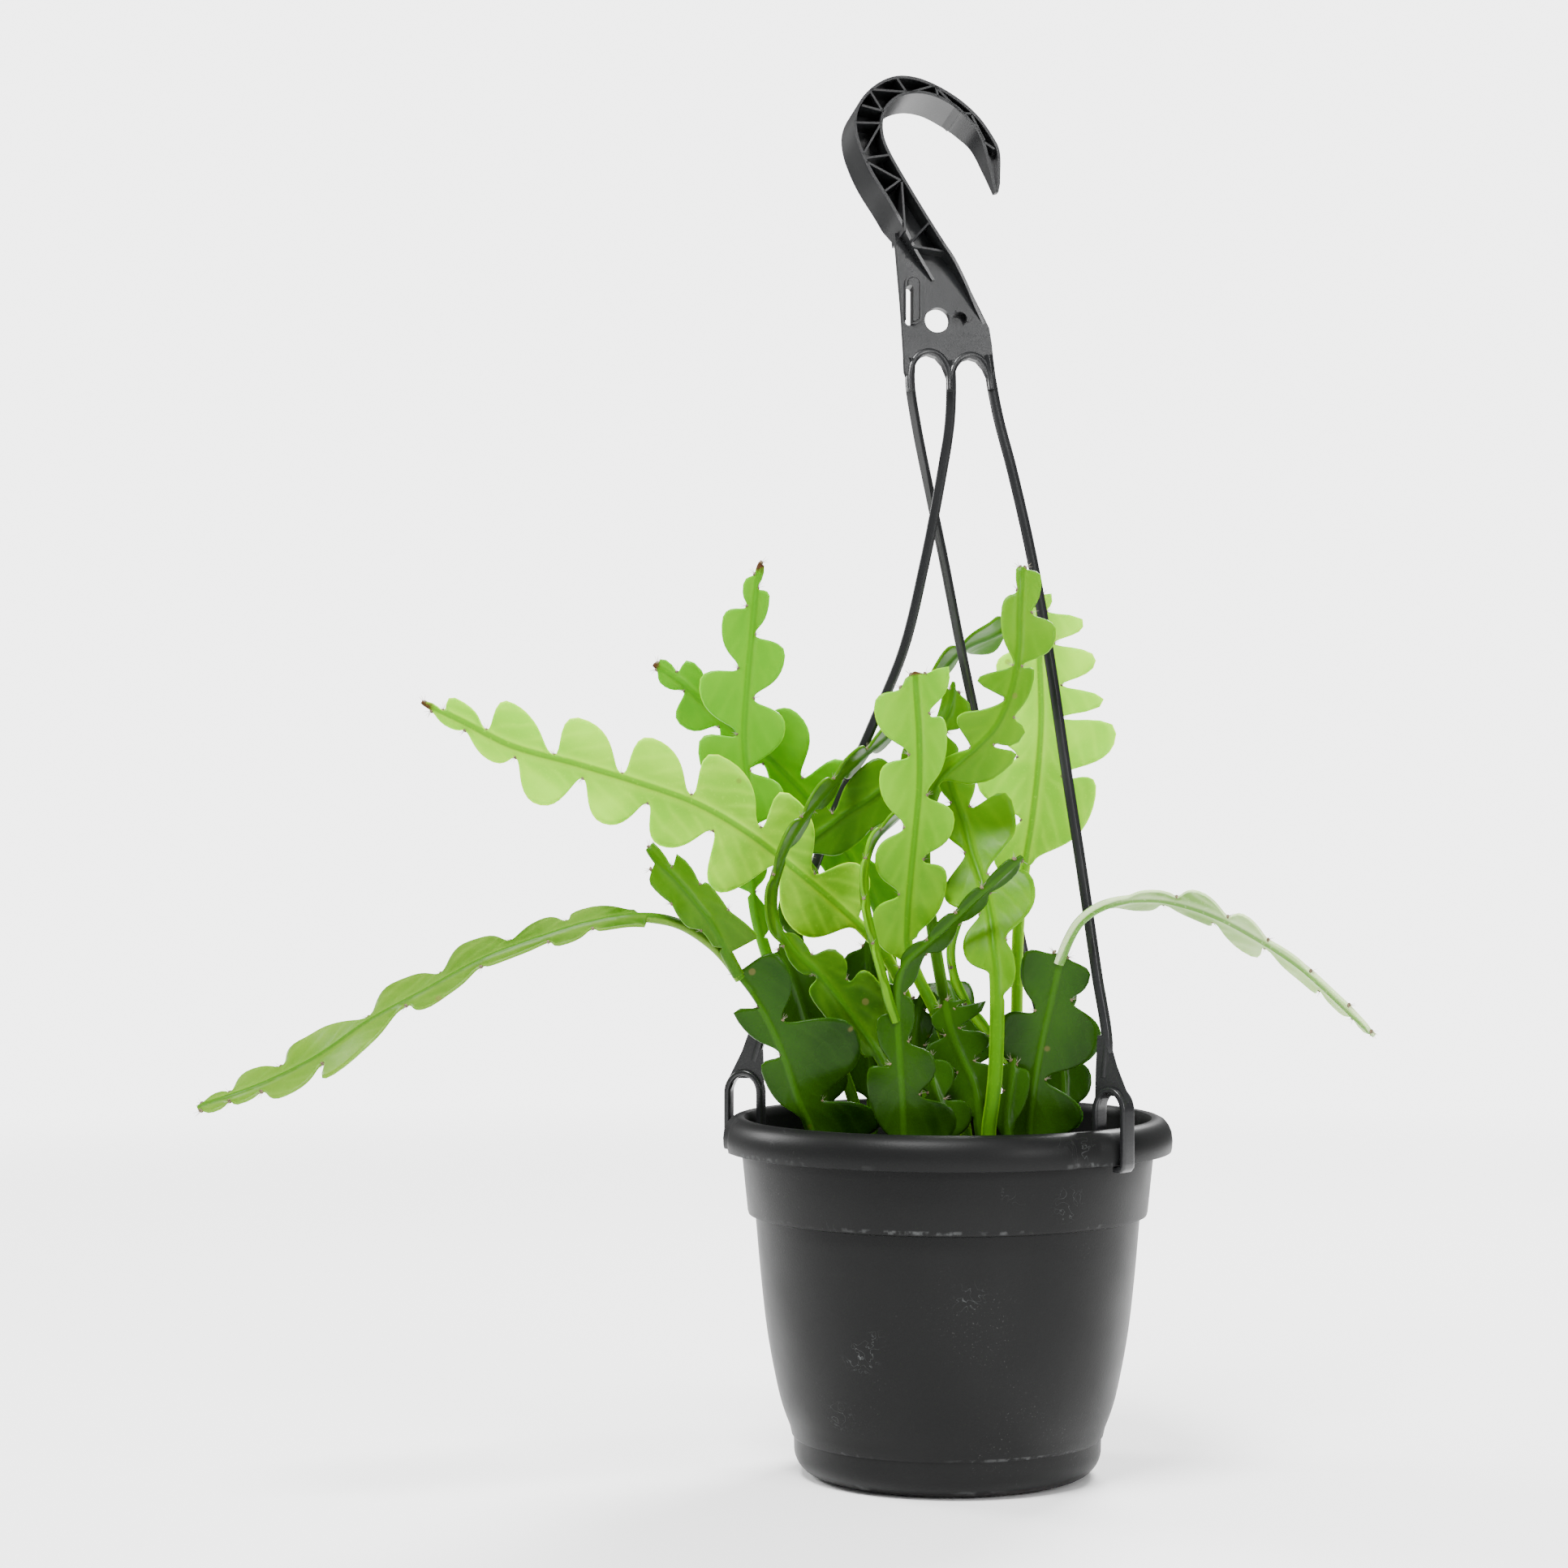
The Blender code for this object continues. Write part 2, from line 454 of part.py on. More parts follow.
# Each stem: root on the soil (x, y), rib rows (across, up, depth, turn), and the two edges,
# either traced as sinus, crest, sinus ... or made by rule as (start, lobes, reach, lead).
STEMS = {
    "stem_long_left": dict(
        finish="young_stem", root=(-8, 14),
        rib=[(-9, 150, 12), (-14, 182, 6), (-24, 206, 0), (-38, 222, -6), (-60, 241, -14), (-80, 256.5, -19),
             (-100, 268, -22), (-125, 277, -25), (-150, 284.5, -28), (-175, 291.5, -30),
             (-195, 301.5, -32), (-211, 309, -34)],
        edges=([(-38, 218), (-61, 217), (-69, 243), (-94, 233.5), (-94, 257), (-115, 251), (-120, 268),
                (-138, 260), (-146, 278), (-164, 267.5), (-173.5, 286.5), (-183, 285), (-194, 297.5),
                (-200, 298.5), (-207, 305)],
               [(-35, 222), (-34, 243), (-53, 240), (-63, 272), (-75, 259), (-91, 287.5), (-103, 272),
                (-118, 294.5), (-131, 280.5), (-147, 302.5), (-158, 288), (-175, 309), (-185, 298),
                (-197, 310.5), (-202, 305.5), (-207.5, 309), (-210, 308.5)])),
    "stem_upright_left": dict(
        finish="young_stem", root=(-46, 24),
        rib=[(-51, 150, 19), (-61, 175, 11), (-71, 203, 3), (-77, 225, -3), (-79, 250, -6), (-80, 275, -7),
             (-81.5, 295, -7), (-80, 320, -7), (-78, 340, -7), (-76.5, 355, -9), (-75, 365, -11)],
        edges=([(-75, 213), (-71, 222), (-77, 233), (-72, 244), (-77, 258), (-65.5, 272), (-79, 281.5),
                (-65, 299), (-77.5, 310), (-65, 327), (-77, 336), (-71.2, 350), (-76, 355), (-73.3, 362),
                (-75, 365)],
               [(-79, 232), (-88, 240), (-81, 250), (-92, 262), (-83.5, 266), (-100, 289), (-84.5, 296),
                (-99.5, 316), (-84, 322.5), (-90.5, 341), (-80.5, 348), (-82, 356), (-77.5, 360)])),
    "stem_small_left": dict(
        finish="young_stem", root=(-17, 48),
        rib=[(-18, 150, 46), (-20, 190, 40), (-28, 226, 31), (-36, 242, 26), (-43, 253, 23), (-51, 265, 20),
             (-66, 281, 16), (-84, 297, 13), (-97, 308, 11), (-108, 318, 9), (-118, 324, 8)],
        edges=([(-34, 228), (-51, 243.5), (-51, 257), (-64, 258), (-74, 284), (-88, 282), (-92, 299),
                (-107.5, 300), (-106, 313.5), (-113.5, 315), (-116.5, 321.5)],
               [(-22, 222), (-19, 233), (-33, 248), (-25, 262), (-43, 262), (-41, 285), (-58, 278.5),
                (-60, 304.5), (-80, 300), (-86, 318), (-97, 311), (-101, 324.5), (-109, 321.5),
                (-113, 326), (-116.5, 325)])),
    "stem_arching": dict(
        finish="old_stem", root=(-18, -37),
        rib=[(-20, 148, -40), (-25, 163, -41), (-37, 181, -42), (-50, 198, -41), (-62, 209.5, -39, 15),
             (-69.5, 222, -37, 60), (-70.5, 233, -36, 70), (-66, 248, -34, 68), (-60, 259, -31, 62),
             (-46, 276, -14, 60), (-38, 284, -3, 66), (-22, 298, 20, 70), (-8, 315, 38, 70),
             (6, 330.5, 50, 68), (17, 335.5, 57, 60), (25, 339, 65, 30), (31, 342, 77, 0),
             (35, 343.5, 92, -10), (38, 343, 106, -10)],
        edges=([(-33, 166), (-52.5, 187), (-53, 199), (-60, 201), (-66, 211)],
               [(-18, 160), (-27, 196), (-40, 197.5), (-43, 208.5), (-54, 207.5), (-59, 214.5), (-66, 217)]),
        then=((126, 10, (6.5, 13), 0), (131, 10, (6.5, 13), 6))),
    "stem_centre_light": dict(
        finish="young_stem", root=(9, -22),
        rib=[(5, 150, -24), (1, 168, -26), (-5, 185, -30), (-12, 199, -35), (-16, 210, -39), (-16, 222, -41),
             (-15, 236, -43), (-13, 256, -44), (-11.3, 275, -44), (-11.3, 295, -43), (-12.4, 312, -40),
             (-13, 321, -38)],
        edges=([(-19, 205), (-30.2, 221), (-19.5, 232), (-29, 247), (-17.5, 258.5), (-27.3, 279),
                (-15.5, 288), (-29.4, 306), (-19, 314.5), (-17, 318), (-15, 320)],
               [(-12, 214), (0, 237), (-9.5, 245.5), (3, 261), (-8, 272), (0, 296), (-7, 304),
                (1, 323), (-8.5, 320)])),
    "stem_crossing": dict(
        finish="old_stem", root=(-32, 8),
        rib=[(-38, 150, 6), (-50, 180, 3), (-59, 208, 2), (-61, 232, 1), (-57, 250, 1), (-45, 261, 1),
             (-30, 271, 0), (-15, 284, 0), (-5, 296, 1), (1, 307, 3), (2.5, 317, 4)],
        edges=([(-62, 214), (-68, 224), (-64, 236), (-69, 246), (-58, 258), (-52, 268), (-46, 264.5),
                (-33, 284), (-20, 283), (-14, 296), (-6, 299), (-2, 313), (1, 314)],
               [(-56, 226), (-51, 236), (-55, 247), (-38, 250.5), (-30, 258), (-18, 266), (-16, 276),
                (3, 285), (0, 297), (9, 303), (5, 313)])),
    "stem_front_right": dict(
        finish="young_stem", root=(5, 2),
        rib=[(4, 150, -2), (0, 182, -12), (-5, 212, -22), (-9, 243, -28), (-8, 262, -31), (-3, 277, -34),
             (5, 285, -37), (12, 291, -40), (20, 300, -42), (26, 315, -43), (28.4, 330, -42),
             (29, 345, -39), (30, 363, -34)],
        edges=([(-9, 268), (-5, 283), (9, 290.5), (4, 303), (23, 310), (12, 318), (26.5, 324), (21.5, 344),
                (28, 354.5), (27.5, 362), (29, 364)],
               [(-4, 275), (26, 284), (19, 292), (31, 295.5), (27, 303), (35, 319), (30, 323),
                (43.8, 336), (34, 344.5), (38, 357.5), (31.5, 362.5)])),
    "stem_broad_right": dict(
        finish="young_stem", root=(27, 24),
        rib=[(27.5, 150, 22), (28, 190, 14), (28.5, 218, 8), (31, 243, 4), (34, 262, 3), (36.5, 284, 4),
             (37.6, 303, 6), (37, 325, 8), (36.5, 338, 12), (37.5, 352, 18)],
        edges=([(26, 236), (18.5, 250), (29.5, 262), (12, 278), (28, 287), (18, 303), (29.5, 311),
                (19.5, 323), (31, 332), (26, 343), (34, 347)],
               [(34.5, 244), (59.8, 272), (46, 279), (68, 296), (46, 303), (63, 309), (46, 316),
                (59.6, 326), (43, 332), (55, 340.5), (40, 345), (43, 356), (38.5, 353)])),
    "stem_front_light": dict(
        finish="young_stem", root=(16, -59), stalk=2.9,
        rib=[(16.6, 135, -60), (18.2, 148.7, -61), (19.3, 159.6, -61), (19.9, 176, -60), (19.9, 197.6, -58),
             (18.8, 208.5, -56), (17.7, 219.3, -50), (15, 232.8, -38), (12.6, 240.5, -32), (9.7, 249, -28),
             (7.3, 258.7, -24), (4.4, 267.4, -22), (1.5, 275, -20), (-1, 285, -16)],
        edges=([(16.6, 199.8), (6.3, 209.6), (12.8, 224), (-1.3, 231), (7, 248), (-4, 262), (1.5, 268),
                (-5, 280), (-1.5, 284)],
               [(22.6, 190), (27.5, 203), (23.7, 214), (34.9, 236.7), (16.4, 239.5), (26, 269.3), (9.2, 267),
                (11, 280), (2, 282)])),
    "stem_centre_dark": dict(
        finish="old_stem", root=(-18, -54),
        rib=[(-17.5, 135, -55), (-18, 150, -57), (-19, 165, -58), (-20, 182, -58), (-19.5, 197, -59),
             (-17, 204, -60, 10), (-10, 211, -61, 30), (0, 220, -62, 45), (12, 231.5, -62, 45),
             (22, 240, -62, 40), (30, 247, -61, 40)],
        edges=([(-21, 130), (-32.3, 156), (-23, 164), (-28.5, 179), (-22, 185), (-22, 194), (-19, 203),
                (-15, 211), (-8, 214), (-2, 222.5), (3, 224.5), (9, 232.5), (14, 235), (22, 244), (27, 246.5)],
               [(-14, 124), (4, 141), (-11, 152), (-4.5, 164), (-15.5, 173), (-13, 186), (-17, 192),
                (-12, 199), (-8, 208), (1, 211), (5, 220), (14, 225), (17, 232), (26, 238), (30, 245)]),
        shoots=[dict(
            rib=[(-20.5, 181, -58, 70), (-23, 188, -60, 75), (-26, 199, -60, 78), (-30, 214, -58, 78),
                 (-33, 229, -54, 78), (-33, 243, -46, 78), (-30, 253, -36, 78), (-24, 260, -27, 75),
                 (-17, 265, -22, 75)],
            made=((14, 5, (6, 8), 0), (14, 5, (7, 8), 8)))]),
    "stem_left_front": dict(
        finish="old_stem", root=(-51, -36),
        rib=[(-54.5, 137, -41), (-60, 150, -46), (-65, 165, -51), (-71, 179, -55), (-78, 191, -59),
             (-86, 201.5, -62)],
        edges=([(-49, 128), (-26, 141), (-50, 149), (-36, 176), (-66, 181.5), (-66.5, 206.5), (-84, 201.5)],
               [(-60, 142), (-74.5, 160), (-67, 167), (-88, 186.5), (-76, 187), (-80, 193), (-85, 200)]),
        shoots=[
            dict(
                rib=[(-83, 198, -61, 30), (-88, 205, -63, 50), (-95, 212, -65, 62), (-108, 220, -67, 66),
                     (-124, 222.5, -69, 64), (-142, 220, -71, 60), (-162, 214, -74, 58), (-185, 205.5, -77, 58),
                     (-210, 192, -80, 58), (-232, 180, -83, 58), (-254, 165, -86, 56), (-278, 153.5, -89, 54),
                     (-301, 146, -92, 50)],
                edges=([(-126, 225), (-146, 225.3), (-153.5, 220.5), (-163, 221.2), (-175.5, 213),
                        (-192, 213.3), (-203.5, 200), (-222, 196.3), (-233, 182), (-260, 173),
                        (-268.5, 162), (-281, 160.3), (-288.5, 152), (-293, 152), (-299, 148)],
                       [(-120, 219), (-135, 218), (-142, 218), (-153, 212), (-160, 212.5), (-178, 205.3),
                        (-187, 202.5), (-206, 188), (-217, 187), (-243, 161.5), (-250, 164), (-264, 151.8),
                        (-275, 152.5), (-283, 148), (-288, 148.5), (-293, 145), (-299, 145)])),
            dict(
                rib=[(-84, 199.5, -62), (-88, 207, -66), (-94, 219, -71), (-101, 228.5, -73), (-109, 238, -74),
                     (-115, 244, -74), (-120.5, 250, -73)],
                edges=([(-87, 208), (-74, 211), (-88, 226), (-94.5, 235), (-99, 236), (-107, 247.5),
                        (-110.5, 243), (-117, 252), (-119.5, 251)],
                       [(-90, 210), (-95, 212), (-99, 217.5), (-106, 220), (-111, 228), (-118, 234),
                        (-119.5, 242), (-122, 249)]))]),
    "stem_right_dark": dict(
        finish="old_stem", root=(31, -40),
        rib=[(33, 140, -42), (35, 155, -44), (38, 172, -46), (42, 190, -49), (46, 208, -53)],
        edges=([(29, 128), (22, 146), (30, 157), (21, 180), (35, 185), (30, 206), (43, 210)],
               [(37, 130), (54.5, 142), (39.5, 157), (61.5, 172), (50, 189.5), (57.5, 198.5), (48.5, 206.5)]),
        shoots=[dict(
            rib=[(45, 204, -52, 40), (48.5, 213, -55, 55), (53, 220.5, -58, 60), (60, 226, -60, 60),
                 (70, 229.3, -62, 58), (84, 230, -63, 55), (98, 227, -64, 52), (112, 221.5, -65, 50),
                 (128, 212.5, -66, 52), (142, 203, -66, 56), (157, 189.5, -66, 60), (171.5, 175, -66, 62)],
            edges=([(72, 231), (83, 233.6), (92, 231), (99, 233.3), (112.5, 223), (119, 223.5), (129, 213.5),
                    (138, 208), (146, 201), (153, 195), (161, 187.5), (166, 182), (170, 177)],
                   [(66, 226.5), (79, 225), (87, 227.5), (104, 219.7), (107, 220.5), (122.5, 207), (128, 210),
                    (145, 194.5), (150, 193), (157, 185), (163, 182), (167, 177), (170.5, 175.5)]))]),
    "stem_horned": dict(
        finish="old_stem", root=(14, -40),
        rib=[(13, 140, -41), (11, 155, -40), (6, 166, -38), (2, 176, -36), (0, 184, -34), (-1, 189, -33)],
        edges=([(8, 142), (-2, 150), (4, 160), (-9, 167), (-1, 175), (-6.5, 180.5), (-3, 187)],
               [(17, 150), (20, 160), (11, 165), (17, 174), (5, 178), (15.5, 190), (3, 186), (8, 193),
                (0, 190)])),
    "stem_low_centre": dict(
        finish="old_stem", root=(1, -50),
        rib=[(0, 137, -50), (-3, 148, -49), (-6, 158, -48), (-8, 166, -47)],
        edges=([(-3, 132), (-12, 143), (-8, 152), (-15, 160), (-10, 166)],
               [(3, 132), (9.5, 146), (-1, 150), (2.8, 161), (-6, 166)])),
    "stem_low_right": dict(
        finish="old_stem", root=(24, -52),
        rib=[(24, 137, -52), (24.5, 148, -51), (26, 158, -50), (27, 166, -49)],
        edges=([(21, 136), (18, 146), (22.5, 153), (20, 160), (25.5, 165)],
               [(27, 138), (33.5, 156), (28, 164)])),
    "stem_behind_centre": dict(
        finish="old_stem", root=(-12, -15),
        rib=[(-12.5, 150, -20), (-13, 170, -23), (-12, 184, -24), (-9, 194, -24)],
        edges=([(-16, 150), (-24, 163), (-17, 172), (-21, 184), (-14, 190)],
               [(-9, 156), (0, 165), (-9, 171), (-5, 180), (-9, 185), (-3, 190), (-7, 194)])),
    "stem_pale_narrow": dict(
        finish="young_stem", root=(42, 2),
        rib=[(37, 140, 0, 70), (27, 160, -2, 70), (15, 178, -8, 70), (7, 189, -10, 72), (2.5, 200, -10, 74),
             (1.5, 210, -10, 75), (4, 220, -8, 75), (9, 232, -4, 75)],
        made=((46, 6, (7, 6), 0), (46, 5, (6, 6), 9))),
    "stem_shaded_left": dict(
        finish="old_stem", root=(-46, -8),
        rib=[(-49, 150, -12), (-54, 172, -17), (-59, 190, -21), (-64, 203, -23), (-67, 212, -23)],
        edges=([(-52, 152), (-64, 164), (-57, 174), (-73, 186), (-63, 194), (-74, 203), (-68, 210)],
               [(-46, 148), (-40, 160), (-50, 172), (-45, 183), (-54, 192), (-52.5, 202), (-63, 208)])),
    "stem_shaded_back": dict(
        finish="old_stem", root=(-30, 30),
        rib=[(-30, 150, 28), (-31, 172, 24), (-31, 192, 19), (-32, 206, 16), (-32, 214, 15)],
        edges=([(-33, 150), (-42, 160), (-34, 170), (-44, 182), (-35, 191), (-42, 203), (-34, 211)],
               [(-27, 150), (-18, 164), (-27, 176), (-17, 190), (-27, 198), (-21, 208), (-30, 213)])),
    "stem_back_low": dict(
        finish="old_stem", root=(4, 58),
        rib=[(5, 150, 60), (6, 168, 64), (4, 185, 70), (0, 197, 78)],
        edges=([(0, 146), (-11, 156), (-1, 164), (-12, 176), (-3, 184), (-9, 194), (-2, 198)],
               [(9, 144), (21, 153), (11, 162), (20, 174), (10, 182), (10, 194), (3, 197)])),
    "stem_back_right": dict(
        finish="old_stem", root=(48, 40),
        rib=[(47, 150, 42), (46, 168, 46), (44, 186, 52), (42, 199, 58)],
        edges=([(42, 148), (31, 158), (40, 168), (32, 179), (40, 187), (35, 197), (40, 200)],
               [(51, 146), (58, 158), (51, 166), (57, 176), (49, 184), (52, 193), (45, 198)])),
}


def stem_edges(rib, spec):
    """The two lists of sinus and crest places that a stem's table entry describes."""
    if "made" in spec:
        return [swung(rib, *rule) for rule in spec["made"]]
    found = [[rib.find(*spot) for spot in trace] for trace in spec["edges"]]
    if np.mean([reach for _, reach in found[0][1::2]]) < 0:
        found.reverse()
    if "then" in spec:
        found = [knots + swung(rib, *rule)[1:] for knots, rule in zip(found, spec["then"])]
    return found


def tidy_knots(knots):
    """The places in rising order along the rib, with crests kept between their sinuses."""
    sinuses = [knots[0]]
    for s, reach in knots[2::2]:
        sinuses.append((max(s, sinuses[-1][0] + 3.0), reach))
    kept = [sinuses[0]]
    for (low, _), (s, reach), high in zip(sinuses, knots[1::2], sinuses[1:]):
        kept += [(min(max(s, low + 1.0), high[0] + 1.5), reach), high]
    return kept


def build_stem(name, spec):
    rib = Rib(rooted(spec["root"], spec["rib"]))
    left, right = [tidy_knots(knots) for knots in stem_edges(rib, spec)]
    stem = stem_mesh(name, rib, left, right, spec["finish"], spec.get("stalk", STALK_HALF_WIDTH))
    shoots = []
    for number, shoot in enumerate(spec.get("shoots", ())):
        branch = Rib(traced(shoot["rib"]))
        left, right = [tidy_knots(knots) for knots in stem_edges(branch, shoot)]
        shoots.append(stem_mesh(f"{name}_shoot_{number}", branch, left, right))
    if shoots:
        combine(stem, shoots, "UNION")
    return shade(stem, 50.0)


# Hanger

LEAN, YAW = math.radians(HANGER_LEAN), math.radians(HANGER_YAW)
PLATE_NORMAL = np.array((math.sin(YAW) * math.cos(LEAN), -math.cos(YAW) * math.cos(LEAN), math.sin(LEAN)))
PLATE_ORIGIN = sighted(0.0, HANGER_FOOT_UP, HANGER_FOOT_DEPTH)

HOOK_OUTER = ((-6, 478), (-13, 490), (-17, 498), (-24, 510.5), (-30, 520), (-34, 528), (-37, 537), (-37.4, 544),
              (-35.5, 549.5), (-31.5, 554.5), (-26, 558.4), (-20, 560.3), (-13, 559.8), (-7, 557.8),
              (0, 554.2), (7, 549.3), (13, 543.5), (18, 536.5), (21, 530.5), (21.3, 517))
HOOK_TIP = ((20.6, 513.6), (19, 513.2))
HOOK_INNER = ((17, 522), (13, 536), (9, 541.5), (4, 546.8), (-1, 550), (-6, 552.2), (-12, 553.2), (-17, 552.5),
              (-21, 550.5), (-24.5, 546.5), (-25.8, 541), (-25.2, 535.5), (-23, 530), (-20, 524.5),
              (-15, 516), (-8, 504.5), (-1, 493.5), (3, 487.5), (8, 477.5), (12, 468), (16, 459.5))
POCKETS = (
    ((-6, 557.2), (-15.2, 554), (-19, 559.8)), ((-22, 559.3), (-17, 554.3), (-30, 554.6)),
    ((-31, 553.5), (-17, 552.6), (-24, 548.6)), ((-32.3, 553), (-25.3, 547.6), (-27, 542)),
    ((-33.5, 551.5), (-27.5, 541.8), (-36.6, 542.8)), ((-36.6, 541.5), (-27.3, 540.8), (-33.8, 528.6)),
    ((-33, 527.5), (-26.2, 539.2), (-24, 530)), ((-33, 526.4), (-23.4, 529), (-17.5, 518.5)),
    ((-32.3, 525), (-18.5, 517.6), (-25.2, 512.3)), ((-24.3, 511), (-17.6, 517), (-14.8, 494.6)),
    ((-16.3, 516.5), (-14, 493.8), (-7.5, 504)), ((-13, 492.6), (-6.6, 501.8), (0.6, 490.4)),
    ((-12.6, 491), (1, 489.4), (14, 462.5), (-5.6, 479.2)),
    ((-3.6, 555), (-2.6, 551.8), (5.4, 546.8)), ((-2.2, 554.0), (7.4, 545.6), (8.4, 546.4)),
    ((10, 542.6), (11.3, 543.6), (18.6, 533.6), (15.2, 535.2)),
    ((20, 528.6), (14.6, 533.4), (20.2, 517)),
)
PLATE_OUTLINE = (
    (-21, 497), (-19.8, 484), (-18.2, 470), (-17.2, 455), (-17, 443), (-14.5, 437), (-12.8, 441),
    (-12, 445.6), (-8, 448.2), (-4, 446), (-1, 441), (1.2, 437), (3.2, 441), (5, 444.5), (9.5, 446.4),
    (13.6, 443.4), (16, 438), (19.2, 434), (19.4, 444), (17.2, 458), (8, 477), (1, 490), (-8, 499),
)
SLOT = ((-12.7, 471), 2.0, 8.6)
ROUND_HOLE = ((-2, 465.2), 5.2, 5.2)
ARMS = {
    "right": [(17.4, 446, 4), (18.2, 436, 3), (20.5, 423, 0), (26, 402, -5), (33.5, 369, -12), (40.5, 330, -21),
              (48, 280, -33), (54.2, 240, -43), (60, 200, -52), (64.3, 172, -57)],
    "left": [(1.2, 446, 0), (1.6, 436, 0.5), (0.9, 420, 2), (-2.6, 398, 4), (-9, 365, 7), (-17.5, 330, 10),
             (-29.8, 300, 12), (-45, 265, 15), (-58, 229, 18), (-68, 199, 21), (-75.3, 172, 23)],
    "back": [(-15, 446, -4), (-14.8, 436, -3), (-12.4, 420, 2), (-6.6, 391, 11), (-1.4, 366, 18),
             (5.6, 330, 29), (14, 290, 41), (23, 245, 54), (31.5, 205, 65), (37.7, 176, 73)],
}


def on_plane(across, up, offset):
    """Where the line of sight meets the plane that lies offset in front of the plate's middle."""
    seen = np.array((across, 0.0, up))
    way = seen - EYE
    reach = ((PLATE_ORIGIN + PLATE_NORMAL * offset - EYE) @ PLATE_NORMAL) / (way @ PLATE_NORMAL)
    return EYE + way * reach


def prism(name, near, far):
    """A solid between two outlines of as many points."""
    count = len(near)
    faces = [(i, (i + 1) % count, (i + 1) % count + count, i + count) for i in range(count)]
    faces += [tuple(reversed(range(count))), tuple(range(count, 2 * count))]
    return facing_out(mesh_object(name, [*near, *far], faces))


def slab(name, outline, front, back):
    """A flat piece with the traced outline, between two distances in front of the plate's middle."""
    face = [on_plane(a, u, front) for a, u in outline]
    return prism(name, face, [point - PLATE_NORMAL * (front - back) for point in face])


def rounded(middle, half_width, half_height, count=4):
    """A traced outline with round ends, as wide as its shorter side."""
    corner = min(half_width, half_height)
    found = []
    for sx, sy, start in ((1, 1, 0), (-1, 1, 90), (-1, -1, 180), (1, -1, 270)):
        centre = (middle[0] + sx * (half_width - corner), middle[1] + sy * (half_height - corner))
        for angle in np.radians(np.linspace(start, start + 90, count)):
            found.append((centre[0] + corner * math.cos(angle), centre[1] + corner * math.sin(angle)))
    return found


def swept(name, route, half, hint, chamfer=0.35):
    """A bar along a route of points, with a chamfered section half wide and half deep."""
    points = np.array(route, float)
    tangents = np.gradient(points, axis=0)
    tangents /= np.linalg.norm(tangents, axis=1)[:, None]
    a, b = half
    c = 1.0 - chamfer
    corners = ((a, b * c), (a * c, b), (-a * c, b), (-a, b * c))
    section = corners + tuple((-u, -v) for u, v in corners)
    rings = []
    for point, tangent in zip(points, tangents):
        wide = np.cross(tangent, hint)
        wide /= np.linalg.norm(wide)
        deep = np.cross(wide, tangent)
        rings.append([point + wide * u + deep * v for u, v in section])
    count = len(section)
    flat = [p for ring in rings for p in ring]
    faces = []
    for number in range(len(rings) - 1):
        for i in range(count):
            start, end = number * count + i, number * count + (i + 1) % count
            faces.append((start, end, end + count, start + count))
    faces += [tuple(range(count)), tuple(range(len(flat) - count, len(flat)))]
    return facing_out(mesh_object(name, flat, faces))


def rim_frame(azimuth):
    """The outward and the sideways direction at an azimuth round the rim."""
    angle = math.radians(azimuth)
    return np.array((math.cos(angle), math.sin(angle), 0.0)), np.array((-math.sin(angle), math.cos(angle), 0.0))


def clip_pieces(name, azimuth):
    """A clip astride the rim: an arch with a leg on each side, its barb under the lip, and a gusset."""
    outward, sideways = rim_frame(azimuth)
    middle = 0.5 * (CLIP_OUTER + CLIP_INNER)
    half = 0.5 * (CLIP_OUTER - CLIP_INNER)
    arch = [(middle + half * math.cos(a), CLIP_SPRING + (CLIP_TOP - CLIP_SPRING) * math.sin(a))
            for a in np.radians(np.linspace(0, 180, 9))]
    barb_z = LIP_BOTTOM - REST_GAP - STRAP_HALF[0]
    outer = [(CLIP_OUTER - 4.4, barb_z), (CLIP_OUTER - 1.0, barb_z), (CLIP_OUTER, barb_z + 1.6)]
    side_view = outer + arch + [(CLIP_INNER, CLIP_SPRING - 10), (CLIP_INNER, 135.0)]
    route = [outward * r + np.array((0, 0, z)) for r, z in side_view]
    strap = swept(f"{name}_strap", route, STRAP_HALF, sideways, chamfer=0.25)
    gusset_side = ((CLIP_INNER - 1.0, 150.0), (CLIP_INNER - 0.6, 166.0), (78.6, 179.0), (81.6, 179.0),
                   (86.0, 167.0), (CLIP_OUTER + 0.6, 154.0), (CLIP_OUTER - 1.5, 151.5),
                   (middle + 3.5, CLIP_TOP - 2.2), (middle - 3.5, CLIP_TOP - 2.2), (CLIP_INNER + 1.3, 151.5))
    near = [outward * r + sideways * GUSSET_HALF + np.array((0, 0, z)) for r, z in gusset_side]
    far = [point - sideways * 2 * GUSSET_HALF for point in near]
    return [strap, prism(f"{name}_gusset", near, far)]


def pulled_in(corners, outline, margin):
    """Pull a pocket's corners towards its middle until they lie a margin inside an outline."""
    starts = np.array(outline, float)
    ways = np.roll(starts, -1, axis=0) - starts
    middle = np.mean(corners, axis=0)
    found = []
    for corner in corners:
        for share in np.linspace(0.0, 1.0, 41):
            point = corner + (middle - corner) * share
            along = np.clip(((point - starts) * ways).sum(1) / (ways ** 2).sum(1), 0.0, 1.0)
            gap = np.linalg.norm(point - starts - ways * along[:, None], axis=1).min()
            above = starts[:, 1] > point[1]
            level = starts[:, 0] + ways[:, 0] * (point[1] - starts[:, 1]) / np.where(ways[:, 1] == 0, 1, ways[:, 1])
            inside = np.count_nonzero((above != np.roll(above, -1)) & (level > point[0])) % 2
            if inside and gap >= margin:
                break
        found.append(tuple(point))
    return found


